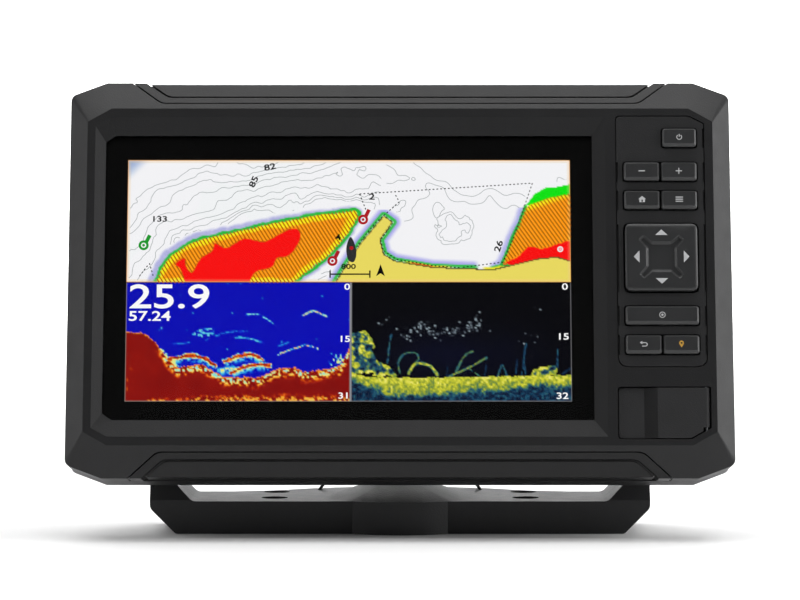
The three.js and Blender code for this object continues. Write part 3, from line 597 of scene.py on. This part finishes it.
def thicken(piece):
    piece.modifiers.new("thick", "SOLIDIFY").thickness = FILM * MM


def flat_piece(name, shapes, material, depth):
    """Flat shapes on the screen, each a list of (across, down) corners, given a little thickness."""
    points, faces = [], []
    for shape in shapes:
        faces.append(tuple(range(len(points), len(points) + len(shape))))
        points += [on_panel(x, y, depth) for x, y in shape]
    piece = piece_from(name, points, faces, material)
    thicken(piece)


def line_quad(start, end, width, spare=0.05):
    """A straight line of some width as a rectangle, a little longer at both ends."""
    a, b = np.array(start, float), np.array(end, float)
    along = (b - a) / max(np.hypot(*(b - a)), 1e-6)
    side = np.array((-along[1], along[0])) * width / 2
    a, b = a - along * spare, b + along * spare
    return [tuple(a + side), tuple(b + side), tuple(b - side), tuple(a - side)]


def line_quads(path, width):
    return [line_quad(a, b, width) for a, b in zip(path, path[1:]) if math.dist(a, b) > 0.02]


def contour_quads(x, y, height, levels, width, shown):
    """Lines of equal height over a grid, each grid triangle crossed at most once."""
    quads = []
    near, far = slice(None, -1), slice(1, None)
    corners = [(near, near), (near, far), (far, near), (far, far)]
    for level in levels:
        for triangle in ((0, 1, 2), (3, 2, 1)):
            a, b, c = [corners[k] for k in triangle]
            for odd, one, two in ((a, b, c), (b, c, a), (c, a, b)):
                ho, h1, h2 = height[odd] - level, height[one] - level, height[two] - level
                crossed = ((ho > 0) != (h1 > 0)) & ((ho > 0) != (h2 > 0)) & shown[odd]
                ends = []
                for other, h in ((one, h1), (two, h2)):
                    t = ho[crossed] / (ho[crossed] - h[crossed])
                    x0, y0 = x[odd][crossed], y[odd][crossed]
                    ends.append((x0 + t * (x[other][crossed] - x0), y0 + t * (y[other][crossed] - y0)))
                for ax, ay, bx, by in zip(*ends[0], *ends[1]):
                    if math.hypot(bx - ax, by - ay) > 0.04:
                        quads.append(line_quad((ax, ay), (bx, by), width))
    return quads


def dash_quads(path, length, gap, width):
    """Evenly spaced dashes along a path."""
    quads, left = [], 0.0
    for a, b in zip(path, path[1:]):
        a, b = np.array(a, float), np.array(b, float)
        whole = np.hypot(*(b - a))
        at = left
        while at + length < whole:
            quads.append(line_quad(a + (b - a) * at / whole, a + (b - a) * (at + length) / whole, width, 0))
            at += length + gap
        left = max(0.0, at - whole)
    return quads


def hatch_quads(outline, holes, pitch, angle, width):
    """Parallel strips at an angle, clipped to an outline and kept out of its holes."""
    c, s = math.cos(angle), math.sin(angle)
    rings = [[(x * c + y * s, y * c - x * s) for x, y in ring] for ring in [outline] + holes]
    low = min(v for _, v in rings[0])
    high = max(v for _, v in rings[0])
    quads = []
    for v in np.arange(low + pitch, high, pitch):
        crossings = []
        for ring in rings:
            for (au, av), (bu, bv) in zip(ring, ring[1:] + ring[:1]):
                if (av > v) != (bv > v):
                    crossings.append(au + (v - av) / (bv - av) * (bu - au))
        crossings.sort()
        for u0, u1 in zip(crossings[::2], crossings[1::2]):
            if u1 - u0 > 0.4:
                ends = [(u * c - v * s, u * s + v * c) for u in (u0 + 0.15, u1 - 0.15)]
                quads.append(line_quad(*ends, width, 0))
    return quads


def disc(x, y, r, sides=20):
    turns = [k * 2 * math.pi / sides for k in range(sides)]
    return [(x + r * math.cos(a), y + r * math.sin(a)) for a in turns]


def ring_quads(x, y, r, width, sides=20):
    return line_quads(disc(x, y, r, sides) + [(x + r, y)], width)


def digits(name, items, material, depth, bold=0.0):
    """Wide numbers on the screen: (text, left, baseline, height, turn in degrees)."""
    points, faces = [], []
    for text, left, base, height, turn in items:
        curve = bpy.data.curves.new(name, "FONT")
        curve.body = text
        curve.size = height * FONT_SIZE
        curve.offset = bold * height
        curve.resolution_u = 4
        maker = bpy.data.objects.new(name, curve)
        flat = maker.to_mesh()
        c, s = math.cos(math.radians(turn)), math.sin(math.radians(turn))
        start = len(points)
        places = [(v.co.x * DIGIT_WIDTH, v.co.y) for v in flat.vertices]
        points += [on_panel(left + u * c - v * s, base - u * s - v * c, depth) for u, v in places]
        faces += [tuple(start + i for i in polygon.vertices) for polygon in flat.polygons]
        maker.to_mesh_clear()
        bpy.data.objects.remove(maker)
        bpy.data.curves.remove(curve)
    piece = piece_from(name, points, faces, material)
    thicken(piece)


# The chart: shoals, land and depth lines.
SHOAL = curved([
    (9.9, 44.2), (11.9, 39), (15.3, 34.3), (23.4, 29.1), (36.2, 25.7), (56.1, 21.3), (74, 18.4),
    (79.6, 18.2), (80.4, 20.6), (76.2, 27.6), (70.9, 33.8), (65.3, 38.5), (57.6, 44.2),
])
SHOAL_CORE = curved([
    (20.6, 44.4), (18.8, 39), (17, 37.4), (19.9, 35.3), (20.6, 38.6), (22.9, 40.4), (25.5, 35.4),
    (29.6, 32.8), (30.7, 30), (34.6, 31.6), (41, 28.3), (48, 29.3), (54, 26), (58, 24.6), (60.1, 26.3),
    (59.2, 30.4), (56.1, 34.2), (52, 35.1), (50.5, 38.3), (44.9, 40), (42.4, 44.4),
], 4)
BANK = [
    (154.4, 11.7), (146, 13.5), (141, 15.6), (138.5, 17.1), (136.4, 22.3), (132.4, 31.7), (130.3, 37.4),
    (154.4, 37.2),
]
BANK_TOP = [
    (154.4, 8.8), (150, 9.5), (145.1, 10.1), (141.5, 12.4), (138.3, 16.6), (141, 16), (146, 13.9),
    (154.4, 12.2),
]
BANK_CORE = [
    (130.3, 37.5), (135.9, 34.4), (139.5, 31.2), (144.6, 31.8), (149.2, 30.3), (154.4, 28.6),
    (154.4, 36.3), (149.2, 34.9), (142.6, 35.6), (136.9, 36.9),
]
SHORE = [
    (72.3, 44.2), (75.7, 38.5), (81.3, 29.7), (89.2, 20), (92.3, 22.3), (87.9, 28.6), (89.2, 33.8),
    (93, 36.2), (106.3, 38.5), (127.2, 39.3), (136.9, 36.9), (142.6, 35.5), (149.2, 34.8), (154.4, 36.4),
]
LAND = SHORE + [(154.4, 44.2)]
BORDERS = [
    [
        (80.8, 12.2), (141, 8.3), (138, 17.1), (134.4, 27.6), (130.6, 36.6), (115.5, 38.6), (106.3, 37.9),
        (93.6, 35.6), (89, 32.4), (88, 28.6), (91.8, 23.6),
    ],
    [(93.3, 12.6), (94.6, 15), (85.9, 23), (80.8, 29.6), (77.4, 35)],
    [(80.8, 12.2), (83, 18)],
    [(4.5, 41.6), (7.9, 37), (9.6, 42.7)],
]
BUOYS = {"green": [(5.8, 30.6)], "red": [(71.4, 36.2), (82.0, 21.4)]}
DIP = (113.5, 24.5)  # the ringed hollow in the open water
SLOPE_LEVELS = (4.6, 5.8, 7.2, 9.4, 12.5, 15.5, 18.5, 21.5, 24.5)
CONTOUR_WIDTH = 0.2
HATCH = {"pitch": 1.16, "width": 0.4}
DASH = {"on": 0.62, "off": 0.72, "width": 0.36}


def chart_picture():
    """Painted in order: water, shallows round each edge, shoal, bank, land and the pane's frame."""
    x, y = picture_grid(CHART)
    colours = np.ones((*x.shape, 3)) * np.array((0.965, 0.965, 0.975))
    paint(colours, 0.5 * (noise_field(x, y, 16, 1) > 0.62) * (x < 60), "f2f6f6")
    paint(colours, step_up(9 - x - y, 0, 7), "9fb2d8")
    shoal = signed(SHOAL, x, y, 1.0, 2)
    bank = signed(BANK, x, y, 0.7, 3)
    land = signed(LAND, x, y)
    open_water = 1 - band(x, 121.5, 126.5, 1.2)
    shallow = band(shoal, 0.4, 2.9 - 0.022 * x, 0.7)
    paint(colours, shallow * (0.75 + 0.5 * noise_field(x, y, 1.2, 4)), "b3b4e2")
    paint(colours, band(land, 0.8, 2.5, 1.0) * open_water * (y > 18) * (x < 131), "a9a8ec")
    paint(colours, band(bank, 0.4, 2.0, 1.0) * (x < 140) * (y > 17), "b0b0ea")
    paint(colours, band(land, 0.3, 1.4, 0.2) * open_water * (x < 133), "35bd4a")
    paint(colours, band(land, 0.1, 0.7, 0.2) * band(x, 97, 112, 2), "f0d628")
    paint(colours, band(land, 0.0, 0.5, 0.2) * band(x, 99, 106, 1), "e0501c")
    paint(colours, band(land, 0.1, 0.8, 0.2) * band(x, 124, 131, 1), "f0e628")
    paint(colours, band(shoal, -0.5, 0.7, 0.2), "27b83c")
    paint(colours, shoal < -0.5, "fbe91a")
    yellow_end = step_up(x + 0.4 * y, 83.5, 86)
    paint(colours, band(shoal, -99, -1.3 - 1.6 * noise_field(x, y, 7, 5), 0.4) * (1 - yellow_end), "fd9c16")
    core = signed(SHOAL_CORE, x, y, 0.5, 6)
    paint(colours, core < 0.22, "c8460a")
    paint(colours, core < 0, "fb0d0d")
    paint(colours, bank < 0, "fbe91a")
    paint(colours, step_up(y + 0.35 * (x - 138), 17.6, 19.6) * (bank < -0.5), "fd9c16")
    paint(colours, band(bank, -0.4, 0.7, 0.2) * (y > 16) * (x < 139), "23a83a")
    paint(colours, signed(BANK_TOP, x, y, 0.5, 7) < 0, "0ce312")
    paint(colours, signed(BANK_CORE, x, y, 0.8, 8) < 0, "fb0d0d")
    paint(colours, land < 0.2, "4c4222")
    paint(colours, land < -0.22, "ebdb61")
    edge = np.minimum.reduce([x, y, LIT_W - x, SPLIT_Z - y])
    paint(colours, edge < 0.35, "e8983c")
    paint(colours, (edge < 1.0) * 0.3, "f5cf9a")
    picture_piece("chart_picture", x, y, colours)


def chart_lines():
    """Depth lines, hatching over the shoal and bank, and dashed borders."""
    x, y = np.meshgrid(np.linspace(0.9, 152.8, 254), np.linspace(0.9, 42.9, 71))
    shoal = signed(SHOAL, x, y)
    land = signed(LAND, x, y)
    bank = signed(BANK_TOP + BANK[3:], x, y)
    rough = noise_field(x, y, 11, 11, 4)
    slope = shoal + 12 * (rough - 0.5) + 0.05 * np.clip(70 - x, 0, 70)
    clear = (land > 4) & (bank > 2)
    round_shoal = clear & (shoal > 3.2) & (x < 88)
    quads = contour_quads(x, y, slope, SLOPE_LEVELS, CONTOUR_WIDTH, round_shoal)
    far = noise_field(x, y, 24, 12, 4) + 0.012 * y + 0.001 * x
    quads += contour_quads(x, y, far, (0.72, 0.82), CONTOUR_WIDTH, clear & (x > 90) & (y + 0.05 * x < 30))
    dip_x, dip_y = DIP
    ring = np.hypot(x - dip_x, (y - dip_y) * 1.25) + 7 * (noise_field(x, y, 3.4, 13) - 0.5)
    quads += contour_quads(x, y, ring, (4.4, 6.4), CONTOUR_WIDTH, np.hypot(x - dip_x, y - dip_y) < 9)
    flat_piece("chart_depth_lines", quads, LINE_GREY, LINE_Y)
    hatching = hatch_quads(SHOAL, [SHOAL_CORE], HATCH["pitch"], math.radians(58), HATCH["width"])
    hatching += hatch_quads(BANK[:-1] + BANK_CORE[:6], [], HATCH["pitch"], math.radians(55), HATCH["width"])
    flat_piece("chart_hatching", hatching, HATCH_BROWN, LINE_Y)
    dashes = [quad for path in BORDERS for quad in dash_quads(path, DASH["on"], DASH["off"], DASH["width"])]
    flat_piece("chart_borders", dashes, INK_BLACK, DASH_Y)


def chart_marks():
    """Buoys, scale bar, north arrow, boat and depths."""
    tones = {"green": BUOY_GREEN, "red": BUOY_RED}
    for colour, places in BUOYS.items():
        shapes = []
        for bx, by in places:
            shapes += ring_quads(bx, by, 1.35, 0.85)
            shapes.append(disc(bx, by, 0.5, 12))
            shapes.append(line_quad((bx + 0.8, by - 0.9), (bx + 2.1, by - 3.6), 1.3, 0))
        flat_piece(f"chart_buoys_{colour}", shapes, tones[colour], MARK_Y)
    scale = [line_quad((70.4, 40.9), (84.6, 40.9), 0.5, 0)]
    scale += [line_quad((at, 39.6), (at, 42.2), 0.5, 0) for at in (70.6, 84.4)]
    arrow = [[(88.1, 37.4), (89.6, 41.6), (88.1, 40.6)], [(88.1, 37.4), (88.1, 40.6), (86.6, 41.6)]]
    flat_piece("chart_scale_and_arrow", scale + arrow, INK_BLACK, MARK_Y)
    boat = [(77.6, 27.6), (79.2, 30.4), (79.7, 34), (78.7, 36.6), (76.8, 35.6), (76.2, 31.4)]
    hull = curved(boat, 4, True)
    flat_piece("chart_boat", [hull], BOAT_GREY, MARK_Y)
    flat_piece("chart_boat_seat", [disc(78, 31.6, 0.7, 12)], BUOY_RED, SEAT_Y)
    spot = ring_quads(150.5, 32, 0.8, 0.5) + [disc(150.5, 32, 0.3, 10)]
    flat_piece("chart_spot", spot, PALE_GLOW, MARK_Y)
    depths = [
        ("82", 47.6, 3.9, 2.2, 12), ("85", 43.9, 10.1, 2.2, 66), ("133", 8.3, 22.1, 2.0, 0),
        ("4", 72.4, 28.9, 2.2, 8), ("2", 84.0, 14.2, 2.2, 0), ("26", 129.4, 33.2, 2.2, 72),
        ("800", 74.4, 39.0, 1.8, 0),
    ]
    digits("chart_depths", depths, INK_BLACK, MARK_Y, 0.03)


# The sonar pane: a hard bottom, layers as (path, strength) and fish over it.
SONAR_SCALE = [
    (0, "0505b0"), (0.15, "0a2fd0"), (0.32, "2aa6e6"), (0.46, "8fe6d8"), (0.56, "f2ea7a"),
    (0.68, "f2941e"), (0.8, "d0450c"), (0.9, "98160c"), (1, "7d0908"),
]
BOTTOM = [
    (0, 61.9), (5.1, 61.9), (7.7, 63), (10.3, 65.4), (12.3, 68), (14.4, 71.2), (18, 74.4), (22, 73.6),
    (26.5, 73.2), (29.5, 74.9), (34, 77.6), (46.3, 77.9), (48.9, 76.5), (52, 74.9), (58.7, 74.2),
    (61.3, 75.9), (66, 75.4), (74.1, 74), (75.7, 71.3), (77.6, 67),
]
LAYERS = [
    ([(14.8, 71.2), (22, 69.8), (27.2, 70.7), (31.1, 73.4)], 0.86),
    ([(34.2, 71.9), (39, 70), (43.8, 69.4), (47.4, 71.2)], 0.8),
    ([(36.7, 75.9), (41.3, 73.8), (46.9, 72.8), (50, 73.4)], 0.82),
    ([(32.2, 75), (35.7, 74.1), (39.8, 74.3)], 0.3),
]
ECHOES = [
    ([(41.8, 55.3), (44.9, 55), (47.9, 56.3), (50.7, 58.2)], 0.46),
    ([(61.4, 55.6), (64.9, 54), (69.5, 55.9)], 0.62),
    ([(37.7, 63.3), (41.8, 63.5), (47.2, 65.1)], 0.42),
    ([(52.5, 69.4), (59.1, 67), (62.4, 66.2), (66.5, 67.3)], 0.62),
    ([(23.4, 62.2), (26, 60.9), (29.8, 60.2)], 0.44),
    ([(24.4, 63.1), (27, 62), (30.4, 61.8)], 0.4),
    ([(31.1, 62.8), (36, 61.4), (41.8, 61.2)], 0.3),
    ([(16.4, 65.8), (22, 65.1)], 0.28),
    ([(53, 66.4), (56.5, 65)], 0.3),
]


def sonar_picture():
    """Echo strength over the pane, then coloured by SONAR_SCALE."""
    x, y = picture_grid(SONAR)
    fine = noise_field(x, y, 0.75, 21, 2)
    broad = noise_field(x, y, 5, 22, 2)
    floor_y = np.interp(x, [p[0] for p in BOTTOM], [p[1] for p in BOTTOM]) + 0.9 * (fine - 0.5)
    sunk = y - floor_y
    value = 0.03 * broad
    for path, strength in LAYERS:
        route = curved(path)
        over = np.interp(x, [p[0] for p in route], [p[1] for p in route])
        within = step_up(x, path[0][0], path[0][0] + 1) * (1 - step_up(x, path[-1][0] - 1, path[-1][0]))
        glow_under = within * np.clip(1.25 - (y - over) / 2.6, 0, 1) * (y > over) * step_up(fine, 0.3, 0.6)
        value = np.maximum(value, 0.56 * glow_under)
        far = distance_to(route, x, y) + 1.2 * (fine - 0.5)
        value = np.maximum(value, (strength + 0.08) * (1 - step_up(far, 0.3, 1.0)) * (0.7 + 0.55 * fine))
    for path, strength in ECHOES:
        far = distance_to(curved(path), x, y) + 0.7 * (fine - 0.5)
        value = np.maximum(value, strength * (1 - step_up(far, 0.1, 0.5)) * step_up(fine, 0.22, 0.5))
    haze = np.exp(-((x - 27) ** 2 / 18 + (y - 62) ** 2 / 6))
    haze = haze + 0.5 * np.exp(-((x - 6) ** 2 / 40 + (y - 60) ** 2 / 5))
    rise = step_up(x, 68, 76) * step_up(y, 66, 73)
    slope = 1.2 * np.exp(-(sunk / 2.2) ** 2) * step_up(x, 10, 13) * (1 - step_up(x, 17, 20))
    value = np.maximum(value, 0.4 * step_up(fine + 0.36 * haze, 0.86, 0.98))
    value = np.maximum(value, 0.54 * step_up(fine + 0.5 * rise + 0.5 * slope, 0.84, 1.02))
    hard = 0.93 + 0.07 * broad
    fringe = (1 - step_up(sunk, 0.6, 3.4 + 1.8 * broad)) * step_up(x, 8, 14)
    hard -= 0.5 * fringe * step_up(fine, 0.36, 0.68)
    near_edge = step_up(y + 2.6 * fine + 1.5 * broad + 0.05 * np.minimum(x, 40), 87.2, 89.6)
    hard -= 0.34 * near_edge * step_up(fine, 0.4, 0.65)
    hard -= 0.25 * step_up(fine, 0.72, 0.84) * np.exp(-x / 3)
    value = np.where(sunk > 0, hard, value)
    value = np.where((sunk > -0.35) & (sunk <= 0), 0.7, value)
    colours = graded(value, SONAR_SCALE)
    edge = np.minimum.reduce([x, SPLIT_X - x, LIT_H - y])
    paint(colours, edge < 0.3, "8a8076")
    picture_piece("sonar_picture", x, y, colours)


# The scan pane: a bright bed with heaps, and sticks as (path, half width, brightness).
SCAN_SCALE = [
    (0, "010104"), (0.14, "04061c"), (0.3, "0d2440"), (0.45, "1f5570"), (0.58, "4a7a58"),
    (0.7, "8a9a34"), (0.85, "d3d235"), (1, "f4f08a"),
]
HEAPS = [
    [
        (77.6, 61.6), (82.8, 61), (84.9, 63.6), (86.2, 66.7), (85.2, 67.5), (87, 71.4), (88.3, 72.9),
        (88.3, 76), (77.6, 76),
    ],
    [(85.4, 77), (86.4, 74), (88, 72.4), (90.6, 72.9), (92.2, 74.6), (93.7, 77)],
    [(140.1, 76.9), (141.6, 74.5), (144.2, 73.4), (148.9, 73.2), (149.4, 75), (148.9, 76.9)],
]
STICKS = [
    (
        [(94.8, 76), (94.3, 72.4), (95.8, 69.5), (97.9, 68.8), (100.5, 69), (101.3, 70.8), (100, 72.4)],
        0.45,
        0.62,
    ),
    ([(97.9, 76), (100, 72.7), (103.1, 72.7), (105.7, 73.7), (107.8, 76.6)], 0.75, 0.86),
    ([(114, 76), (116.1, 71.4), (118.2, 69), (120, 68.2)], 0.5, 0.66),
    ([(112, 77), (118.7, 74), (121.8, 72.1), (124.7, 70.6)], 0.5, 0.72),
    ([(118.7, 74.3), (122.4, 77.1)], 0.4, 0.6),
    ([(90.5, 74), (90.9, 68.2), (91.7, 62.5)], 0.4, 0.56),
    ([(138, 77), (137.7, 70.3), (138.5, 65.6)], 0.5, 0.46),
    ([(136.8, 77), (137.9, 69)], 0.45, 0.42),
    ([(134.7, 77), (135.3, 71.4)], 0.35, 0.42),
    ([(149.2, 74), (149.2, 67.2)], 0.4, 0.48),
    ([(128.6, 77), (130.2, 73.2), (131.7, 77)], 0.5, 0.52),
    ([(151, 76.2), (154.1, 74)], 0.6, 0.36),
    ([(124, 77), (124.6, 73)], 0.35, 0.36),
    ([(111, 77), (111.2, 73.6)], 0.3, 0.34),
]
SCHOOL_SIZE = 95
SCHOOL = curved([
    (97, 63.6), (101, 59.6), (104.5, 60.4), (109.4, 61.9), (114.6, 61.6), (119, 59.6), (122, 58),
])
STRAYS = [
    (122.4, 54.4), (121.4, 55.6), (87.5, 58.4), (90.1, 57.1), (91.2, 56.2), (93.7, 60.4), (95.3, 62.5),
    (88.6, 58.8), (138.2, 62), (142.4, 63), (140.2, 62.6), (135.9, 64.6), (137.7, 65.6), (141.4, 65.1),
    (141.6, 52.7), (143.4, 53.4), (126, 61),
]


def scan_picture():
    """Brightness over the pane, coloured by SCAN_SCALE, with the fish painted on top."""
    x, y = picture_grid(SCAN)
    fine = noise_field(x, y, 0.8, 31, 2)
    broad = noise_field(x, y, 6, 32, 2)
    murk = np.exp(-((x - 112) ** 2 / 900 + (y - 70) ** 2 / 90))
    value = 0.01 + 0.1 * murk + 0.05 * broad * murk
    for outline in HEAPS:
        far = signed(outline, x, y, 1.4, 33)
        crags = noise_field(x, y, 2.1, 34, 3) + 0.2 * (1 - step_up(-far, 0, 1.6))
        lit = 0.36 + 0.46 * step_up(crags, 0.36, 0.66) + 0.5 * (fine - 0.5)
        value = np.where(far < 0, lit, value)
    for path, width, strength in STICKS:
        far = distance_to(curved(path), x, y) + 0.8 * (fine - 0.5)
        value = np.maximum(value, strength * (1 - step_up(far, width * 0.3, width)) * (0.55 + 0.8 * fine))
    chance = np.random.default_rng(SEED + 5)
    route = np.array(SCHOOL)
    picks = route[chance.integers(0, len(route), SCHOOL_SIZE)]
    picks = picks + chance.normal(0, 1, (SCHOOL_SIZE, 2)) * (0.9, 1.3)
    fish = np.zeros(x.shape)
    for fx, fy in [*picks, *STRAYS]:
        far = np.hypot((x - fx) * 0.8, y - fy)
        fish = np.maximum(fish, (0.5 + 0.35 * math.sin(fx * 9)) * (1 - step_up(far, 0.15, 0.45)))
    bed = np.interp(x, (77.6, 84, 108, 130, 154.1), (75.6, 77.4, 77.5, 77.1, 76.7)) + 0.7 * (fine - 0.5)
    sunk = y - bed
    depth_x, depths = (77.6, 85, 90, 110, 128, 142, 154.1), (2.4, 3.2, 6.4, 5.6, 4.6, 3.4, 4.4)
    deep = np.interp(x, depth_x, depths) + 2.2 * (broad - 0.5)
    mud = 0.84 - 0.14 * step_up(sunk, 0, deep) - 0.36 * step_up(sunk, deep - 1, deep + 1.2)
    value = np.where(sunk > 0, mud + 0.44 * (fine - 0.5), value)
    colours = graded(value, SCAN_SCALE)
    paint(colours, fish, "b9cdd6")
    edge = np.minimum.reduce([x - SPLIT_X - 2 * GUTTER, LIT_W - x, LIT_H - y])
    paint(colours, edge < 0.3, "77777a")
    picture_piece("scan_picture", x, y, colours)


def black_border():
    """The black print on the glass's back, round the lit area, and the grey line between the panes."""
    margin = 0.5
    hole = rectangle(PANEL["x"], PANEL["z"], LIT_W + margin, LIT_H + margin)
    rim = rectangle(GLASS["x"], GLASS["z"], GLASS["w"], GLASS["h"])
    points, faces = slab([rim, hole], GLASS["back"] + 0.03, GLASS["back"] + 0.1)
    piece_from("glass_black_border", points, faces, BLACK_PRINT)
    middle = SPLIT_X + GUTTER
    split = [line_quad((middle, SPLIT_Z + GUTTER), (middle, LIT_H), 0.45, 0)]
    flat_piece("pane_divider", split, DIVIDER_GREY, MARK_Y)


def make_screen():
    """The three panes, the black print round them and the numbers: (text, left, baseline, height, turn)."""
    chart_picture()
    chart_lines()
    chart_marks()
    sonar_picture()
    scan_picture()
    black_border()
    digits("sonar_depth", [("25.9", 0.8, 52.9, 8.7, 0)], WHITE_GLOW, MARK_Y, 0.014)
    small = [
        ("57.24", 0.8, 57.4, 3.5, 0), ("0", 75.5, 46.4, 2.2, 0), ("15", 73.6, 64.9, 2.2, 0),
        ("31", 73.4, 84.9, 2.2, 0),
    ]
    digits("sonar_numbers", small, WHITE_GLOW, MARK_Y, 0.022)
    scan = [("0", 150.9, 46.4, 2.3, 0), ("15", 149, 64.1, 2.3, 0), ("32", 148.6, 85, 2.3, 0)]
    digits("scan_numbers", scan, WHITE_GLOW, MARK_Y, 0.022)


make_screen()

# ---------------------------------------------------------------- camera, light and floor
CAMERA_AT = Vector((0, -1.4166, 0.1342))
CAMERA_TILT = math.radians(87.85)
LENS = 180.34
SENSOR = 36
FLOOR = {"half": 4.0, "straight": 1.6, "bend": 0.8, "rise": 3.0}  # a sweep: flat, then curving up behind
ROOM_LIGHT = 0.07  # what the plain surroundings add; the camera itself sees them white


def make_camera():
    data = bpy.data.cameras.new("camera")
    data.lens = LENS
    data.sensor_width = SENSOR
    camera = bpy.data.objects.new("camera", data)
    camera.location = CAMERA_AT
    camera.rotation_euler = (CAMERA_TILT, 0, 0)
    bpy.context.scene.collection.objects.link(camera)
    bpy.context.scene.camera = camera


def soft_light(name, at, size, power, aim=(0, -0.02, 0.09)):
    """A rectangular light turned towards a point."""
    data = bpy.data.lights.new(name, "AREA")
    data.shape = "RECTANGLE"
    data.size, data.size_y = size
    data.energy = power
    light = bpy.data.objects.new(name, data)
    light.location = at
    light.rotation_euler = (Vector(aim) - Vector(at)).to_track_quat("-Z", "Y").to_euler()
    bpy.context.scene.collection.objects.link(light)


def make_floor():
    """A pale sweep that fades to white for the camera away from the object."""
    floor = Tree("pale_floor", Roughness=0.9)
    floor.shader.inputs["Specular IOR Level"].default_value = 0.1
    floor.to_shader("Base Color", floor.mixed(floor.noise(3), (0.88, 0.88, 0.88, 1), (0.9, 0.9, 0.9, 1)))
    away = floor.add("VectorMath", {0: floor.place}, operation="LENGTH").outputs["Value"]
    fade = floor.add("MapRange", {"Value": away, "From Min": 0.6, "From Max": 2.0}).outputs[0]
    seen = floor.add("LightPath").outputs["Is Camera Ray"]
    floor.shader.inputs["Emission Color"].default_value = (1, 1, 1, 1)
    glimmer = floor.add("Math", {0: fade, 1: seen}, operation="MULTIPLY").outputs[0]
    floor.to_shader("Emission Strength", glimmer)
    mesh = bpy.data.meshes.new("floor")
    half, straight, bend = FLOOR["half"], FLOOR["straight"], FLOOR["bend"]
    profile = [(-half, 0)]
    for a in np.linspace(0, math.pi / 2, 13):
        profile.append((straight + bend * math.sin(a), bend - bend * math.cos(a)))
    profile.append((straight + bend, FLOOR["rise"]))
    points = [(x, y, z) for y, z in profile for x in (-half, half)]
    strips = [(2 * i, 2 * i + 1, 2 * i + 3, 2 * i + 2) for i in range(len(profile) - 1)]
    mesh.from_pydata(points, [], strips)
    mesh.materials.append(floor.material)
    mesh.polygons.foreach_set("use_smooth", [True] * len(mesh.polygons))
    piece = bpy.data.objects.new("floor", mesh)
    bpy.context.scene.collection.objects.link(piece)


def make_world():
    """Surroundings that are white for the camera and dim for everything else."""
    world = bpy.data.worlds.new("studio")
    world.use_nodes = True
    background = world.node_tree.nodes["Background"]
    background.inputs["Color"].default_value = (1, 1, 1, 1)
    seen = world.node_tree.nodes.new("ShaderNodeLightPath")
    strength = world.node_tree.nodes.new("ShaderNodeMapRange")
    strength.inputs["To Min"].default_value = ROOM_LIGHT
    world.node_tree.links.new(seen.outputs["Is Camera Ray"], strength.inputs["Value"])
    world.node_tree.links.new(strength.outputs[0], background.inputs["Strength"])
    bpy.context.scene.world = world
    bpy.context.scene.view_settings.view_transform = "Standard"


def make_lights():
    """A light from above, weaker ones from the front and sides, and one on the floor's raised back."""
    soft_light("top_light", (0, 0.25, 1.3), (1.8, 1.0), 20)
    soft_light("front_light", (0, -0.6, 1.3), (1.2, 0.3), 3)
    soft_light("right_light", (1.3, -0.2, 0.45), (0.9, 1.0), 15)
    soft_light("left_light", (-1.3, -0.3, 0.4), (0.4, 0.9), 5)
    soft_light("wall_light", (0, 1.1, 1.5), (2.5, 0.5), 55, (0, 2.4, 0.3))


make_camera()
make_floor()
make_world()
make_lights()
